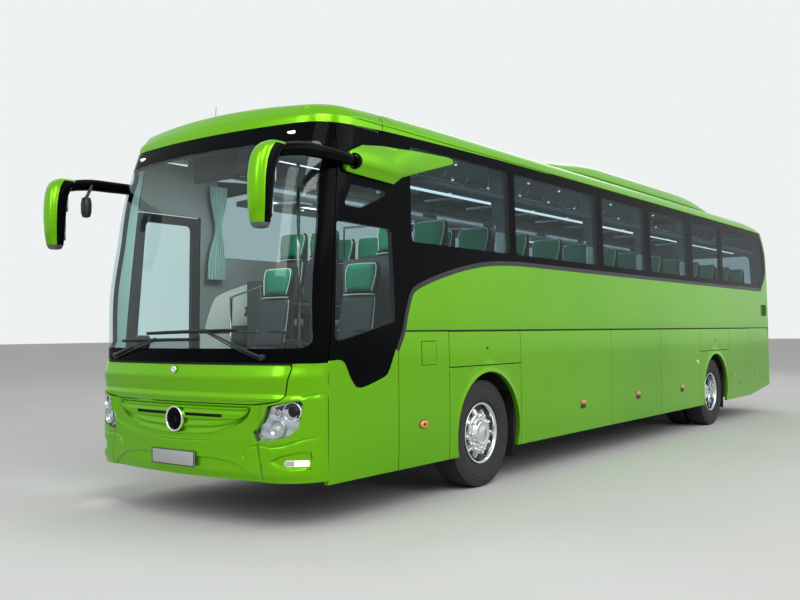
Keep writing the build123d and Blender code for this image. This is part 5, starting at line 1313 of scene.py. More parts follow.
def end_loop(shape, lean, steps):
    """Plan of the roof's crowned end, from corner to corner, as X and the distance in from the end."""
    _, _, nose, bend = plan_arc(ROOF_HALF, shape)
    turns = np.array([-(nose + bend) + 2 * (nose + bend) * k / steps for k in range(steps + 1)])
    return [(float(x), float(back)) for x, back in zip(*wrap_plan(turns, ROOF_HALF, lean, shape))]


def lip_relief(t, z):
    return -0.010 * step_down(z, VISOR_FOOT, EAVES) + 0.006 * (1 - step_down(z, VISOR_FOOT, VISOR_FOOT + 0.02))


def roof():
    """Roof skin, visor and the lips under both."""
    start, end = VISOR_SEAM + 0.003, VISOR_SEAM - 0.003
    outline = [(x, LENGTH - back) for x, back in end_loop(TAIL, TAIL_EAVES, 26)]
    skin("roof_skin", roof_face, [(-ROOF_HALF, start)] + outline + [(ROOF_HALF, start)], cell=0.16, roll=0.001,
         depth=0.04, materials=(PAINT, CEILING), rings=EAVES_RINGS + (0.42, 0.6), node="roof")
    skin("roof_visor_skin", roof_face, end_loop(NOSE, NOSE_EAVES, 40) + [(ROOF_HALF, end), (-ROOF_HALF, end)],
         roll=0.001, depth=0.04, materials=(PAINT, LINING), rings=EAVES_RINGS, node="roof_visor")
    z0, z1 = VISOR_FOOT, EAVES + 0.001
    edge0, edge1, corner = t_at(end, z0), t_at(end, z1), t_at(0.72, z0)
    skin("roof_visor_lip", front_face(lip_relief), [(-edge0, 3.208), (-corner, z0), (corner, z0), (edge0, 3.208),
                                                    (edge1, z1), (-edge1, z1)], cell=0.05, stretch=0.25, roll=0.002,
         materials=(PAINT, LINING))
    for side in (LEFT, RIGHT):
        side_piece("roof_side_lip", side, LIP_LINE, face=side_face(side), lift=0.0016, depth=0.01, roll=0.0012,
                   cell=0.12, rings=())


POD_HALF, POD_TOP = 0.930, 3.680
POD_LINE = smooth_line(((4.85, 3.475), (4.90, 3.530), (5.00, 3.560), (5.35, 3.602), (5.80, 3.650), (6.40, 3.680),
                        (9.10, 3.680), (9.90, 3.648), (10.40, 3.570), (10.62, 3.510), (10.70, 3.455)))


def pod_face(uv):
    """Surface of the pod in (X, station): nearly flat on top, with upright rounded sides."""
    x, s = uv[:, 0], uv[:, 1]
    top = np.minimum(POD_LINE(s), POD_TOP)
    across = np.clip(np.abs(x) / POD_HALF, 0, 1)
    fall = 1 - (1 - np.clip((across - 0.80) / 0.20, 0, 1) ** 2.4) ** (1 / 2.4)
    return np.stack((x, FRONT + s, top - 0.028 * across ** 2 - np.clip(top - 3.475, 0, 1) * fall), 1)


def pod():
    """Air conditioning pod with three round grilles."""
    skin("roof_pod_cover", pod_face, rounded(four(-POD_HALF, 4.852, POD_HALF, 10.698), 0.18, 10), cell=0.09, roll=0.004,
         depth=0.14, materials=(PAINT, SATIN_BLACK), node="roof_air_con",
         rings=(0.003, 0.008, 0.016, 0.028, 0.045, 0.07, 0.10, 0.14, 0.19))
    shape = Shape()
    for s in (6.6, 7.9, 9.2):
        for radius in (0.26, 0.20, 0.14, 0.08):
            shape.lathe(((-0.012, radius - 0.006), (0.003, radius - 0.006), (0.003, radius + 0.006),
                         (-0.012, radius + 0.006)), (0, s, POD_TOP - 0.004), (0, 0, 1), 40, shut=True)
    shape.done("roof_pod_grilles", (SATIN_BLACK,))


# ---- wheels -----------------------------------------------------------------------------------------
TYRE_HALF, RIM_HALF, BEAD, FLANGE = 0.149, 0.1145, 0.286, 0.298


def disc_with_holes(shape, place, inner, outer, hole_circle, slot=1, hole_radius=0.0235, count=10, depth=0.022,
                    steps=96):
    """Face between two radii with round holes through it; place turns radius, angle and sinking into a point."""
    loops = [circle((0, 0), outer, steps), circle((0, 0), inner, steps)[::-1]]
    for k in range(count):
        turn = math.radians(18) + 2 * math.pi * k / count
        loops.append(circle((hole_circle * math.cos(turn), hole_circle * math.sin(turn)), hole_radius, 20)[::-1])
    points, tris = triangulated(loops, loops)
    verts = [shape.vert(place(math.hypot(*p), math.atan2(p[1], p[0]), 0.0)) for p in points]
    for t in tris:
        shape.bm.faces.new([verts[i] for i in t]).material_index = slot
    start = 2 * steps
    for loop in loops[2:]:
        low = [shape.vert(place(math.hypot(*p), math.atan2(p[1], p[0]), -depth)) for p in loop]
        shape.bridge(verts[start:start + len(loop)], low, slot)
        start += len(loop)


def tyre(x, s, side):
    """Tyre with ribs, sidewall rings and a shoulder."""
    w = TYRE_HALF
    profile = [(-RIM_HALF + 0.002, BEAD + 0.001), (-RIM_HALF - 0.002, FLANGE + 0.010), (-0.132, 0.325),
               (-0.1455, 0.360), (-w, 0.400), (-w + 0.0005, 0.440), (-w + 0.006, 0.475), (-w + 0.013, 0.497),
               (-w + 0.024, 0.511)]

    def crown(v):
        return TYRE_RADIUS - 0.0015 - 0.006 * (abs(v) / 0.125) ** 2
    tread = []
    for centre in (-0.088, -0.046, 0.0, 0.046, 0.088):
        tread += [(centre - 0.0075, crown(centre - 0.0075)), (centre - 0.0035, crown(centre) - 0.014),
                  (centre + 0.0035, crown(centre) - 0.014), (centre + 0.0075, crown(centre + 0.0075))]
    outer = [(-a, b) for a, b in reversed(profile)]
    wall = []
    for (a0, r0), (a1, r1) in zip(outer, outer[1:]):
        wall.append((a0, r0))
        for radius in (0.452, 0.415, 0.352, 0.330):
            if r1 < radius < r0 or r0 < radius < r1:
                a = a0 + (a1 - a0) * (radius - r0) / (r1 - r0)
                wall += [(a + lift, radius + dr) for dr, lift in ((0.0030, 0.0), (0.0012, 0.0014), (-0.0012, 0.0014),
                                                                  (-0.0030, 0.0))]
    shape = Shape()
    shape.lathe(profile + [(-0.128, 0.5145)] + tread + [(0.128, 0.5145)] + wall + [outer[-1]], (x, s, TYRE_RADIUS),
                (side, 0, 0), 128, shut=True)
    return shape


def rim_lip(shape, origin, side, deep):
    """Outer flange and the well of a rim down to an offset."""
    rim, bead, flange = RIM_HALF, BEAD, FLANGE
    shape.lathe(((rim - 0.006, bead + 0.002), (rim + 0.004, flange - 0.002), (rim + 0.010, flange - 0.001),
                 (rim + 0.013, flange - 0.005), (rim + 0.011, bead - 0.004), (rim + 0.004, bead - 0.012),
                 (rim - 0.02, bead - 0.016), (deep, bead - 0.020), (deep - 0.01, bead - 0.010), (-rim, bead - 0.004),
                 (-rim - 0.010, flange - 0.004), (-rim - 0.004, flange - 0.002), (-rim, bead), (rim - 0.01, bead)),
                origin, (side, 0, 0), 96, shut=True)


def nuts(shape, origin, side, face, radius, count, size=0.016, height=0.026):
    """Ring of washers, nuts and the studs through them."""
    top = height + 0.012
    for k in range(count):
        turn = 2 * math.pi * k / count
        centre = Vector(origin) + Vector((side * face, radius * math.cos(turn), radius * math.sin(turn)))
        for steps, profile in ((16, ((0, 1.35), (0.005, 1.3), (0.006, 1.05))),
                               (6, ((0.004, 1), (height, 1), (height + 0.003, 0.8), (height + 0.004, 0.62))),
                               (14, ((height, 0.62), (height + 0.010, 0.6), (top, 0.4), (top, 0.0001 / size)))):
            shape.lathe([(offset, share * size) for offset, share in profile], centre, (side, 0, 0), steps)


def wheel_wall(shape, origin, side, wall, outer, hole_circle):
    """Pressed wall with hand holes between the rim's well and the nut ring; wall holds radii and offsets."""
    radii, offsets = zip(*wall)

    def place(radius, angle, sunk):
        offset = float(np.interp(radius, radii, offsets))
        return Vector(origin) + Vector((side * (offset + sunk), radius * math.cos(angle), radius * math.sin(angle)))
    disc_with_holes(shape, place, 0.186, outer, hole_circle)


def wheels():
    """Tyres, rims with hand holes, nuts and hub covers."""
    for side in (LEFT, RIGHT):
        word, axis = WORD[side], (side, 0, 0)
        front_body, rear_body = f"front_{word}_wheel", f"rear_{word}_wheels"
        tyre(side * 1.045, FRONT_AXLE, side).done(f"front_{word}_tyre_tread", (RUBBER,), 30, body=front_body,
                                                  node=f"front_{word}_tyre")
        for number, x in enumerate((1.056, 0.718)):
            tyre(side * x, REAR_AXLE, side).done(f"rear_{word}_tyre_tread_{number}", (RUBBER,), 30, body=rear_body,
                                                 node=None if number else f"rear_{word}_tyres")
        shape, origin = Shape(), (side * 1.045, FRONT_AXLE, TYRE_RADIUS)
        rim_lip(shape, origin, side, 0.060)
        wheel_wall(shape, origin, side, ((0.186, 0.100), (0.200, 0.099), (0.232, 0.088), (0.266, 0.058)), 0.266, 0.2265)
        shape.lathe(((0.100, 0.186), (0.1035, 0.180), (0.104, 0.150), (0.104, 0.132), (0.108, 0.126), (0.140, 0.122),
                     (0.146, 0.117), (0.148, 0.108), (0.144, 0.100), (0.144, 0.060), (0.147, 0.055), (0.1475, 0.0001)),
                    origin, axis, 72)
        shape.lathe(((0.078, 0.262), (0.070, 0.180), (0.060, 0.120), (0.03, 0.110)), origin, axis, 48, 2)
        nuts(shape, origin, side, 0.104, 0.1675, 10)
        shape.done(f"front_{word}_rim_dressed", (CHROME, ALLOY, STEEL), 35, slot="alloy", body=front_body,
                   node=f"front_{word}_rim")
        shape, origin = Shape(), (side * 1.056, REAR_AXLE, TYRE_RADIUS)
        rim_lip(shape, origin, side, -0.060)
        wheel_wall(shape, origin, side, ((0.186, -0.056), (0.232, -0.060), (0.262, -0.058)), 0.262, 0.2240)
        shape.lathe(((-0.058, 0.265), (-0.058, 0.262)), origin, axis, 72, 1)
        shape.lathe(((-0.056, 0.186), (-0.052, 0.180), (-0.052, 0.142), (-0.048, 0.132), (0.030, 0.124), (0.048, 0.118),
                     (0.058, 0.106), (0.060, 0.090), (0.060, 0.0001)), origin, axis, 72)
        nuts(shape, origin, side, -0.052, 0.1675, 10)
        nuts(shape, origin, side, 0.058, 0.075, 8, 0.008, 0.010)
        shape.done(f"rear_{word}_rim_dressed", (CHROME, ALLOY, STEEL), 35, slot="alloy", body=rear_body,
                   node=f"rear_{word}_rims")
        shape, origin = Shape(), (side * 0.718, REAR_AXLE, TYRE_RADIUS)
        rim_lip(shape, origin, side, 0.040)
        shape.lathe(((0.034, 0.268), (0.034, 0.13), (0.010, 0.13), (0.010, 0.268)), origin, axis, 64, shut=True)
        shape.done(f"rear_{word}_inner_rim_dressed", (ALLOY,), 35, body=rear_body)


# ---- mirrors and wipers -----------------------------------------------------------------------------
FAIRING = ((0.690, 2.962, 0.02), (0.866, 3.036, 0.05), (1.119, 3.070, 0.05), (1.600, 3.098, 0.05), (2.150, 3.122, 0.02),
           (2.232, 3.112, 0.022), (2.226, 3.066, 0.022), (1.800, 2.948, 0.05), (1.400, 2.832, 0.05),
           (1.292, 2.762, 0.03), (0.900, 2.776, 0.05), (0.650, 2.789, 0.02))
ARM_LINE = ((1.290, 0.760, 2.880), (1.314, 0.560, 2.888), (1.325, 0.330, 2.886), (1.323, 0.150, 2.882),
            (1.314, 0.000, 2.862), (1.300, -0.110, 2.836))
# rows of a mirror: height, centre X, centre station, half width, half depth
HEAD_ROWS = ((2.262, 1.262, -0.262, 0.030, 0.030), (2.268, 1.260, -0.264, 0.052, 0.046),
             (2.300, 1.260, -0.266, 0.066, 0.062), (2.400, 1.262, -0.268, 0.077, 0.076),
             (2.520, 1.264, -0.268, 0.081, 0.084), (2.640, 1.266, -0.262, 0.083, 0.088),
             (2.740, 1.270, -0.246, 0.083, 0.092), (2.800, 1.275, -0.222, 0.080, 0.098),
             (2.845, 1.282, -0.190, 0.073, 0.104), (2.875, 1.290, -0.160, 0.062, 0.098),
             (2.893, 1.296, -0.140, 0.044, 0.074), (2.899, 1.298, -0.132, 0.020, 0.035))
KERB_ROWS = tuple((z, 1.165, -0.02, wide, deep) for z, wide, deep in
                  ((2.555, 0.010, 0.008), (2.560, 0.036, 0.026), (2.600, 0.048, 0.036), (2.680, 0.050, 0.038),
                   (2.730, 0.040, 0.030), (2.742, 0.012, 0.010)))


def power_ring(count, powers, wide, deep):
    """Offsets round a rounded rectangle, with each one's cosine."""
    for k in range(count):
        turn = 2 * math.pi * k / count
        c, d = math.cos(turn), math.sin(turn)
        yield math.copysign(abs(c) ** powers[0], c) * wide, math.copysign(abs(d) ** powers[1], d) * deep, c


def mirror_loft(shape, side, rows):
    """Body of a mirror through its rows."""
    rings = [[Vector((side * (x + u), s + v, z)) for u, v, _ in power_ring(28, (2 / 3, 2 / 3), wide, deep)]
             for z, x, s, wide, deep in rows]
    shape.loft(rings if side > 0 else [ring[::-1] for ring in rings])


def head_at(z, column):
    return np.interp(z, [row[0] for row in HEAD_ROWS], [row[column] for row in HEAD_ROWS])


def fairing_face(side):
    """The side's surface with the mirror's fairing on it: a low shell that fades out to the rear."""
    def place(uv):
        s, z = uv[:, 0], uv[:, 1]
        across = np.clip((z - np.interp(s, (0.65, 1.29, 2.2), (2.77, 2.76, 3.06))) / 0.30, 0, 1)
        swell = np.sin(np.pi * np.clip(across * 0.9 + 0.05, 0, 1))
        points = side_face(side)(uv)
        points[:, 0] += side * (0.016 + 0.046 * swell * (1 - step_down(s, 1.0, 2.1) * 0.75))
        return points
    return place


def mirrors():
    """Fairings, arms and heads with their glasses."""
    for side in (LEFT, RIGHT):
        word = WORD[side]
        side_piece("mirror_fairing", side, rounded(FAIRING, 0.03), face=fairing_face(side), cell=0.05, roll=0.008,
                   depth=0.06, rings=(0.012, 0.03, 0.05), materials=(PAINT, SATIN_BLACK),
                   node="mirrors" if side == LEFT else None)
        shape = Shape()
        line = spline([(side * x, s, z) for x, s, z in ARM_LINE], 8)
        shape.tube(line, [0.046 + 0.007 * math.sin(math.pi * k / (len(line) - 1)) for k in range(len(line))], 20)
        shape.lathe(((-0.02, 0.060), (0.0, 0.066), (0.02, 0.066), (0.045, 0.058)), (side * 1.300, 0.745, 2.880),
                    (side * 0.10, -1, 0.02), 28, shut=True)
        shape.done(f"{word}_mirror_arm", (GLOSS_BLACK,), 50)
        shape = Shape()
        mirror_loft(shape, side, HEAD_ROWS)
        for face in shape.bm.faces:
            centre = face.calc_center_median()
            ahead = (station(head_at(centre.z, 2)) - centre.y) / head_at(centre.z, 4)
            face.material_index = 2 if centre.z < 2.335 else 0 if ahead > 0.33 or centre.z > 2.872 else 1
        shape.done(f"{word}_mirror_head", (PAINT, GLOSS_BLACK, TIP_GREY), 60)
        shape = Shape()
        for z0, z1 in ((2.330, 2.560), (2.585, 2.800)):
            x, s, deep = (head_at((z0 + z1) / 2, column) for column in (1, 2, 4))
            back = s + deep - 0.016
            shape.box((side * x - 0.056, back, z0 + 0.012), (side * x + 0.056, back + 0.016, z1 - 0.012), 0.010, 0, 4)
        shape.done(f"{word}_mirror_glass", (MIRROR,))
    shape = Shape()
    mirror_loft(shape, RIGHT, KERB_ROWS)
    shape.tube([(-1.165, -0.02, 2.735), (-1.19, 0.03, 2.80), (-1.262, 0.10, 2.862)], 0.014)
    shape.done("right_kerb_mirror", (SATIN_BLACK,), 50)


def screen_s(x, z, off):
    """Station of a point standing a little ahead of the front surface."""
    half = float(half_at(z))
    return float(wrap_plan(np.array(wrap_t(x, half)), half, float(front_at(z)) if z > SEAM else 0.0)[1]) - off


def wipers():
    """Pantograph arms with bent spines and rubber blades."""
    shape, lean, steps = Shape(), 0.010, 22
    for pivot_x, arm_x, blade_from, blade_to, blade_z, share in ((0.905, 0.372, -0.399, 0.632, 1.540, 1),
                                                                 (-0.905, -0.250, -0.790, 0.250, 1.474, 0.6)):
        pivot = Vector((pivot_x, screen_s(pivot_x, 1.335, 0.018), 1.335))
        shape.lathe(((-0.060, 0.022), (0.0, 0.024), (0.012, 0.022), (0.018, 0.014), (0.018, 0.0001)), pivot,
                    (0, -1, 0), 24)
        x, z = (pivot_x + arm_x) / 2, (1.335 + blade_z) / 2
        middle = Vector((x, screen_s(x, z, 0.052), z + 0.004))
        end = Vector((arm_x, screen_s(arm_x, blade_z, 0.038), blade_z))
        start, low = pivot + Vector((0, -0.006, 0)), Vector((0, 0.004, -0.026))
        shape.tube([start, start.lerp(middle, 0.5) + Vector((0, -0.010, 0)), middle, middle.lerp(end, 0.5), end],
                   [0.020, 0.0165, 0.014, 0.0115, 0.010], flat=0.6)
        shape.tube([start + low, middle + low, end + Vector((0, 0.006, -0.014))], 0.0055, 8)
        spine, edge = [], []
        for f in (k / steps for k in range(steps + 1)):
            x = blade_from + (blade_to - blade_from) * f
            tilt = lean * (2 * f - 1) * share
            z = blade_z - 0.006 + tilt
            spine.append((x, screen_s(x, z, 0.016 + 0.014 * math.sin(math.pi * f) ** 0.5), z + 0.006))
            z = blade_z - 0.012 + tilt
            edge.append((x, screen_s(x, z, 0.0075), z))
        shape.tube(spine, [0.0045 + 0.0035 * math.sin(math.pi * k / steps) for k in range(steps + 1)], 8)
        shape.tube(edge, 0.0065, 6, 1, 1.5)
        for k in (5, 11, 17):
            shape.tube([spine[k], edge[k]], 0.008, 8)
        shape.lathe(((-0.010, 0.013), (0.006, 0.013), (0.010, 0.009), (0.010, 0.0001)), end, (0, -1, 0), 16)
    shape.done("wipers_dressed", (SATIN_BLACK, SEAL), 50, node="wipers")


def roof_fittings():
    """Aerial on the visor, marker lamps in the mask's head and the camera housing at the foot of the screen."""
    shape, x, s = Shape(), -0.640, 1.02
    z, tip = roof_z(x, s), CAD_BOX[1][2] - 0.004
    shape.lathe(((-0.02, 0.030), (0.004, 0.030), (0.020, 0.020), (0.040, 0.010), (0.044, 0.0001)), (x, s, z),
                (0, 0, 1), 24)
    shape.tube([(x, s, z + 0.035), (x - 0.004, s + 0.008, (z + tip) / 2), (x - 0.010, s + 0.022, tip)],
               [0.0035, 0.0028, 0.0022], 8)
    shape.done("roof_aerial", (SATIN_BLACK,))
    shape, z = Shape(), 3.103
    for x in (-0.905, 0.930):
        s = screen_s(x, z, 0.0)
        shape.box((x - 0.038, s - 0.006, z - 0.012), (x + 0.038, s + 0.03, z + 0.012), 0.006, 0, 3)
    shape.done("roof_marker_lamps", (BEAM,))
    shape, x, z = Shape(), -0.540, 1.452
    s = screen_s(x, z, -0.014)
    shape.box((x - 0.075, s, z - 0.055), (x + 0.075, s + 0.06, z + 0.055), 0.022, 0, 4)
    shape.lathe(((-0.004, 0.024), (0.006, 0.024), (0.008, 0.018), (0.004, 0.0001)), (x, s, z + 0.01), (0, -1, 0), 20, 1)
    shape.done("screen_camera_housing", (SATIN_BLACK, GLOSS_BLACK))


# ---- cabin ------------------------------------------------------------------------------------------
SEAT_HALF = 0.213
ROWS = [2.250 - 0.600 + 0.150 + 0.800 * row for row in range(13)]
PARTITION = 1.731


def soft_form(name, corners, swell, surface, narrow=0.0):
    """Closed cushion form: a box with pulled-in sides, swollen faces and rounded edges.

    corners are (half width, half length, half thickness); its middle is at the origin and its length along Y.
    narrow draws it in towards its near end and rounds its far corners.
    """
    half_x, half_y, half_z = corners
    bm = bmesh.new()
    bmesh.ops.create_cube(bm, size=2.0)
    bmesh.ops.subdivide_edges(bm, edges=bm.edges[:], cuts=8, use_grid_fill=True)
    for v in bm.verts:
        x, y, z = v.co
        flat = max(1 - x * x, 0) * max(1 - y * y, 0)
        pinch = 1 - 0.05 * (1 - abs(z))
        draw = 1 - narrow * ((1 - y) / 2) ** 1.5 - 0.10 * narrow * max(0.0, y) ** 6
        v.co = Vector((x * half_x * pinch * draw * (1 - 0.03 * y * y),
                       y * half_y * pinch * (1 - (0.02 + 0.6 * narrow * (y > 0)) * x ** 4),
                       z * half_z * (0.72 + swell * flat ** 0.35)))
    mesh = bpy.data.meshes.new(name)
    bm.to_mesh(mesh)
    bm.free()
    mesh.materials.append(surface)
    mesh.polygons.foreach_set("use_smooth", [True] * len(mesh.polygons))
    return mesh


def stuffed(mesh, cap, channels=(), pressure=4.0):
    """The form inflated as cloth for 20 frames, every point held near its start, then its sewn channels pressed in.

    channels are (axis, place along it) in the pad's own frame, on its front face.
    """
    result = mesh
    scene = bpy.context.scene
    piece = bpy.data.objects.new("pad_trial", mesh.copy())
    scene.collection.objects.link(piece)
    scene.frame_start, scene.frame_end = 1, 20
    cloth = piece.modifiers.new("cloth", "CLOTH")
    cloth.settings.quality = 6
    cloth.settings.use_pressure = True
    cloth.settings.uniform_pressure_force = pressure
    cloth.settings.effector_weights.gravity = 0.0
    cloth.settings.tension_stiffness = cloth.settings.compression_stiffness = 22
    cloth.settings.bending_stiffness = 1.2
    cloth.point_cache.frame_start, cloth.point_cache.frame_end = 1, 20
    for number in range(1, 21):
        scene.frame_set(number)
    graph = bpy.context.evaluated_depsgraph_get()
    result = bpy.data.meshes.new_from_object(piece.evaluated_get(graph))
    before, after = (np.empty(len(form.vertices) * 3) for form in (mesh, result))
    mesh.vertices.foreach_get("co", before)
    result.vertices.foreach_get("co", after)
    move = (after - before).reshape(-1, 3)
    move *= np.minimum(1.0, cap / np.maximum(np.linalg.norm(move, axis=1), 1e-9))[:, None]
    result.vertices.foreach_set("co", (before.reshape(-1, 3) + move).ravel())
    scene.frame_set(1)
    bpy.data.objects.remove(piece)
    result.materials.clear()
    for surface in mesh.materials:
        result.materials.append(surface)
    result.polygons.foreach_set("use_smooth", [True] * len(result.polygons))
    for v in result.vertices:
        for axis, place in channels:
            if v.co.z > 0:
                v.co.z -= 0.006 * math.exp(-((v.co[axis] - place) / 0.014) ** 2)
    result.update()
    return result


def seat_frame_mesh(width):
    """Shell, base, armrests and legs of a seat unit, its floor at z 0 and its cushion's front edge at y 0."""
    shape, half, w = Shape(0.0), width / 2, SEAT_HALF - 0.004
    count = 2 if width > 0.6 else 1
    for k in range(count):
        middle = -half + width * (k + 0.5) / count
        rings = []
        # columns: y, z, thickness, half width as a share
        for y, z, deep, wide in ((0.470, 0.395, 0.030, 0.93), (0.512, 0.520, 0.034, 0.97), (0.562, 0.760, 0.034, 0.97),
                                 (0.594, 0.930, 0.030, 0.96), (0.608, 1.040, 0.026, 0.96), (0.618, 1.120, 0.022, 0.95),
                                 (0.626, 1.175, 0.018, 0.90), (0.630, 1.205, 0.012, 0.80), (0.632, 1.216, 0.005, 0.68)):
            wing = 0.012 + 0.030 * min(1.0, max(0.0, (z - 0.86) / 0.16))
            rings.append([Vector((middle + u, y + v - wing * abs(c) ** 3, z))
                          for u, v, c in power_ring(20, (0.5, 0.6), w * wide, deep * 0.5)])
        shape.loft(rings)
        shape.box((middle - w + 0.01, 0.02, 0.318), (middle + w - 0.01, 0.425, 0.352), 0.012)
        shape.box((middle - 0.10, 0.555, 0.62), (middle + 0.10, 0.572, 0.80), 0.006, 1)
        shape.tube([(middle + x, y, z) for x, y, z in ((-0.14, 0.560, 0.600), (-0.14, 0.604, 0.590),
                                                       (0.14, 0.604, 0.590), (0.14, 0.560, 0.600))], 0.006, 6, 2)
    for x in (-half + 0.065, half - 0.115):
        shape.box((x, 0.125, 0.0), (x + 0.050, 0.395, 0.322), 0.008, 1)
    shape.tube([(-half + 0.02, 0.20, 0.300), (half - 0.02, 0.20, 0.300)], 0.016, 10, 1)
    for x in (-half + 0.012, half - 0.012):
        shape.tube([(x, 0.500, 0.545), (x, 0.440, 0.590), (x, 0.300, 0.600), (x, 0.190, 0.598)],
                   [0.014, 0.019, 0.020, 0.014], 10, 0, 0.7)
    return shape.mesh("seat_unit_frame", (SEAT_SHELL, STEEL, CHROME), 45)


def piping_mesh():
    """Pale piping down both edges of a seat back, across it and round its headrest."""
    shape, w = Shape(0.0), SEAT_HALF - 0.020
    edge = ((-w, 0.423, 0.47), (-w, 0.462, 0.66), (-w * 0.98, 0.490, 0.80), (-w * 0.95, 0.506, 0.90))
    half = [(0.146, 0.508, 0.955), (0.162, 0.522, 1.03), (0.174, 0.536, 1.11), (0.170, 0.549, 1.175),
            (0.140, 0.557, 1.204)]
    for line in (edge, [(-x, y, z) for x, y, z in edge],
                 ((-w * 0.92, 0.506, 0.925), (-w * 0.4, 0.492, 0.928), (0, 0.488, 0.929), (w * 0.4, 0.492, 0.928),
                  (w * 0.92, 0.506, 0.925)),
                 [(-x, y, z) for x, y, z in half] + [(0, 0.560, 1.208)] + half[::-1]):
        shape.tube(spline(line, 5), 0.0045, 6)
    return shape.mesh("seat_piping", (PIPING,), 180)


def cabin_seats():
    """Every seat from one simulated cushion, back and headrest, on shared frames."""
    lean = math.pi / 2 - math.atan2(0.125, 0.66)
    pads = []
    # columns: pad, form's name, corners, swell, surface, narrowing, cap, channels, middle, turn
    for word, form, corners, swell, surface, narrow, cap, channels, middle, turn in (
            ("cushion", "seat_cushion_form", (SEAT_HALF - 0.010, 0.192, 0.046), 0.30, LEATHER, 0.0, 0.012,
             ((0, -0.125), (0, 0.125)), (0, 0.212, 0.392), math.radians(2)),
            ("back", "seat_back_form", (SEAT_HALF - 0.012, 0.244, 0.034), 0.32, LEATHER, 0.0, 0.010,
             ((0, -0.125), (0, 0.125), (1, -0.08)), (0, 0.478, 0.668), lean),
            ("headrest", "headrest_form", (SEAT_HALF - 0.038, 0.134, 0.034), 0.34, TEAL, 0.17, 0.010,
             (), (0, 0.556, 1.076), lean)):
        pads.append((word, stuffed(soft_form(form, corners, swell, surface, narrow), cap, channels),
                     Matrix.Translation(middle) @ Matrix.Rotation(turn, 4, "X")))
    pair, single, piping = seat_frame_mesh(0.880), seat_frame_mesh(0.420), piping_mesh()
    units = []
    for s in ROWS:
        units.append((s, 0.680, FLOOR_TOP, pair))
        if not MID_DOOR[0] - 0.700 < s - 0.150 < MID_DOOR[1]:
            units.append((s, -0.680, FLOOR_TOP, pair))
    units += [(1.000, 0.705, DRIVER_FLOOR, single), (1.010, -0.350, DRIVER_FLOOR, single)]
    for number, (s, x, floor, frame_mesh) in enumerate(units):
        base = Matrix.Translation((x, station(s), floor))
        new_piece(f"seat_{number}_frame", frame_mesh, matrix=base, node=None if number else "seats")
        for k, middle in enumerate((-0.220, 0.220) if frame_mesh == pair else (0.0,)):
            local = base @ Matrix.Translation((middle, 0, 0))
            for word, mesh, matrix in pads:
                pad = new_piece(f"seat_{number}_{word}_{k}", mesh, matrix=local @ matrix)
            new_piece(f"seat_{number}_piping_{k}", piping, matrix=local)


def curtain(name, side, s, wide, head, foot, cut, inset=0.085, waist=False, tie=2.58, folds=7, columns=76, rows=26):
    """Gathered sheet hanging at a window pillar, drawn in where it is tied."""
    height = head - foot
    rng = random.Random(sum(ord(letter) * (k + 3) for k, letter in enumerate(name)))
    phases = [rng.uniform(-0.25, 0.25) for _ in range(4)]
    amp = 0.5 * math.sqrt(max(cut ** 2 - wide ** 2, 0.0)) / (2 * folds)
    verts, faces = [], []
    for v in (r / rows for r in range(rows + 1)):
        z = head - height * v
        pull = (1 - 0.66 * math.exp(-((z - tie) / 0.20) ** 2) if waist else
                1 - 0.42 * min(1.0, v * 1.25) ** 1.2 - 0.16 * math.exp(-((z - tie) / 0.10) ** 2))
        x = side * (float(half_at(max(z, SEAM))) - inset)
        shift = (0.0 if waist else 0.5 * wide * (1 - pull))
        for u in (c / columns for c in range(columns + 1)):
            wave = math.sin(2 * math.pi * folds * u + phases[0] * 4 * v + phases[1])
            wave += 0.25 * math.sin(2 * math.pi * (2 * folds + 1) * u + phases[2] * 5 * v)
            y = station(s + shift + (u - 0.5) * wide * pull + 0.006 * math.sin(5 * v + phases[3]))
            verts.append((x - side * amp * (0.9 + 0.18 * v) * wave, y, z))
    for r in range(rows):
        for a in range(r * (columns + 1), r * (columns + 1) + columns):
            faces.append((a, a + 1, a + columns + 2, a + columns + 1)[::side])
    slots = [int(waist or (k // columns) / rows > 0.68) for k in range(len(faces))]
    mesh = new_mesh(name, verts, faces, (CURTAIN, CURTAIN_TEAL if waist else CURTAIN_PALE), slots)
    piece = new_piece(name, mesh)


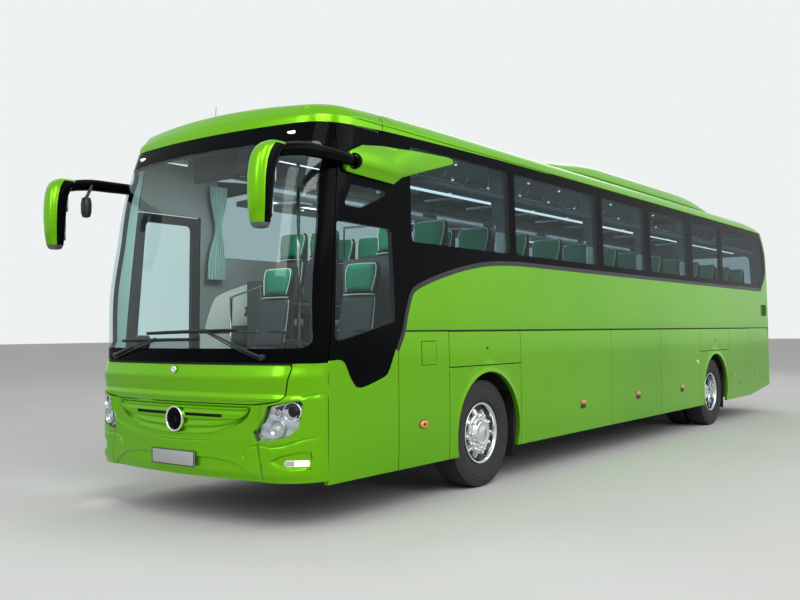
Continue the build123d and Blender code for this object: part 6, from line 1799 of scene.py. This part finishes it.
def cabin():
    """Racks with light strips, service sets, curtain rails and curtains."""
    section = ((1.205, 2.850), (1.000, 2.868), (0.880, 2.888), (0.818, 2.935), (0.806, 2.965), (0.812, 2.985),
               (0.836, 2.975), (0.890, 2.930), (1.000, 2.912), (1.205, 2.900))
    for side in (LEFT, RIGHT):
        word, shape = WORD[side], Shape()
        shape.loft([[(side * x, 1.82 + (12.18 - 1.82) * k / 40, z) for x, z in section] for k in range(41)])
        for s in (2.25 + 0.42 * number for number in range(24)):
            shape.tube([(side * 0.812, s, 2.982), (side * 0.840, s + 0.01, 3.060), (side * 0.900, s, 3.120)], 0.006, 6,
                       1)
        shape.tube([(side * 0.812, 1.84, 3.035), (side * 0.812, 12.16, 3.035)], 0.010, 8, 1)
        shape.done(f"{word}_rack_dressed", (CEILING, CHROME), 30, node="luggage_racks" if side == LEFT else None)
        shape = Shape()
        shape.box((side * 0.865, 1.90, 2.876), (side * 0.885, 12.1, 2.888), 0.003)
        shape.box((side * 0.74, 2.0, 3.300), (side * 0.76, 12.0, 3.308), 0.002)
        for number in range(11):
            for x, shift, z in ((0.30, 0.3, roof_z(0.30, 3.0 + 0.85 * number) - 0.058), (0.98, 0, 2.872)):
                shape.lathe(((-0.006, 0.016), (0.004, 0.016), (0.006, 0.011), (0.007, 0.0001)),
                            (side * x, 2.6 + 0.85 * number + shift, z), (0, 0, -1), 14)
        shape.done(f"{word}_led_strip", (LED,))
        shape, x = Shape(), side * 0.680
        for row in ROWS:
            shape.box((x - 0.16, row + 0.20, 2.840), (x + 0.16, row + 0.46, 2.868), 0.010, 0, 3)
            for dx in (-0.09, 0.09):
                shape.lathe(((-0.004, 0.0001), (0.004, 0.0001), (0.006, 0.020), (0.0, 0.026), (-0.004, 0.026)),
                            (x + dx, row + 0.33, 2.842), (0, 0, -1), 14, 1, shut=True)
        shape.done(f"{word}_service_sets", (DARK_LINING, SATIN_BLACK))
        shape, z = Shape(), WINDOW_HEAD + 0.03
        x = side * (float(half_at(z)) - 0.085)
        shape.tube([(x, 1.60, z), (x, 12.1, z)], 0.008, 8)
        shape.done(f"{word}_curtain_rail", (SILVER,), slot="steel")
    number = 0
    for s, wide in ((3.170, 0.29), (5.310, 0.30), (6.860, 0.28), (8.525, 0.28)):
        for side in (LEFT, RIGHT):
            curtain(f"{WORD[side]}_curtain_{number}", side, s, wide, 3.150, 2.240, 0.62)
            number += 1
    curtain("entrance_curtain", RIGHT, 1.510, 0.235, 3.010, 2.064, 0.60, inset=0.11, waist=True)


def dashboard():
    """Cockpit: upper roll, cowl with instruments, centre stack and lower panels."""
    section = ((0.20, 1.150), (0.19, 1.262), (0.215, 1.290), (0.30, 1.306), (0.42, 1.318), (0.52, 1.312), (0.60, 1.292),
               (0.655, 1.262), (0.668, 1.225), (0.650, 1.196), (0.600, 1.160), (0.560, 1.110), (0.540, 1.020),
               (0.20, 1.020))
    shape, rings = Shape(), []
    for x in (-0.545 + (1.195 + 0.545) * k / 32 for k in range(33)):
        ahead = float(wrap_plan(np.array(wrap_t(abs(x))), HALF, 0.0)[1])
        crown, cowl = 0.010 * (1 - (x / 1.1) ** 2), 0.045 * math.exp(-((x - 0.705) / 0.26) ** 4)
        rings.append([(x, s + (ahead if s < 0.45 else ahead * 0.3) * (1 if s < 0.4 else 0.6),
                       z + crown + (cowl if 0.25 < s < 0.62 else 0)) for s, z in section])
    shape.loft(rings)
    shape.done("dashboard_dressed", (SATIN_BLACK,), 50, node="dashboard")
    shape = Shape()
    shape.box((0.50, 0.19, DRIVER_FLOOR), (1.18, 0.52, 1.03), 0.02, 0, 3)
    shape.box((-0.53, 0.19, DRIVER_FLOOR), (0.49, 0.50, 1.03), 0.02, 1, 3)
    shape.tube([(0.705, 0.60, 1.02), (0.705, 0.70, 1.16), (0.705, 0.79, 1.278)], [0.055, 0.045, 0.034], 16)
    for x, size in ((0.60, 0.055), (0.81, 0.055), (0.705, 0.035)):
        shape.lathe(((-0.01, size), (0.004, size), (0.006, size - 0.006), (0.002, size - 0.010), (0.001, 0.0001)),
                    (x, 0.648, 1.262), (0, 0.86, 0.5), 28, 2)
    for k in range(12):
        x, z = 0.40 - 0.052 * (k % 6), 1.215 - 0.045 * (k // 6)
        shape.box((x - 0.018, 0.655, z - 0.014), (x + 0.018, 0.672, z + 0.014), 0.004, 2)
    shape.box((0.13, 0.655, 1.10), (0.43, 0.690, 1.155), 0.008, 2)
    shape.done("dashboard_fittings", (SATIN_BLACK, DARK_LINING, GLOSS_BLACK))


def steering_wheel():
    """Rim, three spokes and hub."""
    axis, side = Vector((0, 0.16, 0.21)).normalized(), Vector((1, 0, 0))
    centre, up = Vector((0.705, 0.800, 1.290)) + axis * 0.0303, axis.cross(side)
    shape, rim = Shape(), []
    for turn in (2 * math.pi * k / 48 for k in range(48)):
        out = side * math.cos(turn) + up * math.sin(turn)
        rim.append([shape.vert(centre + axis * (0.005 + 0.0125 * math.sin(a)) + out * (0.221 + 0.0145 * math.cos(a)))
                    for a in (2 * math.pi * n / 10 for n in range(10))])
    for a, b in zip(rim, rim[1:] + rim[:1]):
        for n in range(10):
            shape.bm.faces.new((a[n], b[n], b[(n + 1) % 10], a[(n + 1) % 10]))
    for turn in (math.radians(angle) for angle in (-90, 30, 150)):
        out = side * math.cos(turn) + up * math.sin(turn)
        shape.tube([centre + out * 0.045 + axis * 0.002, centre + out * 0.13 - axis * 0.002,
                    centre + out * 0.212 + axis * 0.004], [0.024, 0.017, 0.014], flat=0.45)
    shape.lathe(((-0.026, 0.050), (0.006, 0.060), (0.014, 0.056), (0.017, 0.040), (0.018, 0.0001)), centre, axis, 36)
    shape.lathe(((-0.028, 0.0001), (-0.026, 0.050)), centre, axis, 36)
    shape.done("steering_wheel_dressed", (SATIN_BLACK,), 50, body="steering_wheel", node="steering_wheel")


def monitor_and_partition():
    """Monitor and inner mirror behind the windscreen, and the panels and rails behind the driver."""
    shape = Shape()
    shape.box((-0.46, 0.60, 2.86), (0.10, 0.64, 3.10), 0.012, 0, 3)
    shape.box((-0.44, 0.641, 2.88), (0.08, 0.643, 3.08), 0.001, 1, 1)
    shape.tube([(-0.18, 0.62, 3.09), (-0.18, 0.66, 3.24)], 0.02)
    shape.tube([(0.30, 0.60, 3.10), (0.30, 0.53, 2.98)], 0.009, 8)
    shape.box((0.19, 0.50, 2.86), (0.41, 0.53, 2.98), 0.014, 0, 3)
    shape.done("cabin_monitor", (SATIN_BLACK, GLOSS_BLACK))
    shape, s0, s1 = Shape(), PARTITION - 0.009, PARTITION + 0.009
    shape.box((0.34, s0, DRIVER_FLOOR + 0.001), (1.19, s1, 2.20), 0.008)
    shape.box((-0.95, s0, FLOOR_TOP), (-0.30, s1, 2.05), 0.008)
    shape.tube([(x, PARTITION, z) for x, z in ((0.35, 2.20), (0.35, 2.50), (1.17, 2.50), (1.17, 2.20))], 0.011, 10, 1)
    shape.tube([(-0.62, 1.20, DRIVER_FLOOR), (-0.62, 1.20, 1.86), (-0.62, 1.60, 1.98), (-0.62, 1.66, FLOOR_TOP)], 0.016,
               10, 1)
    shape.tube([(-0.28, 1.78, FLOOR_TOP), (-0.28, 1.78, 3.20)], 0.018, 10, 1)
    shape.done("cabin_partition", (DARK_TRIM, CHROME))


# ---- everything -------------------------------------------------------------------------------------
def dress(node, surface):
    """Gives a CAD node that stays in view its finished material."""
    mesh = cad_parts[node].data
    mesh.materials.clear()
    mesh.materials.append(surface)


for make in (green_sides, flaps, trim, band, doors, front, grille, lamp_units, plates, rear, roof, pod, wheels, mirrors,
             wipers, roof_fittings, cabin_seats, cabin, dashboard, steering_wheel, monitor_and_partition):
    make()
for side in (LEFT, RIGHT):
    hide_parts(f"{WORD[side]}_wall")
for node in ("chassis_frame", "front_axle", "rear_axle", "left_knuckle", "right_knuckle", "front_door_arm",
             "mid_door_arm"):
    dress(node, STEEL)
for node, surface in (("engine_block", CAST), ("floor_deck", FLOOR_MAT), ("mud_flaps", SEAL)):
    dress(node, surface)
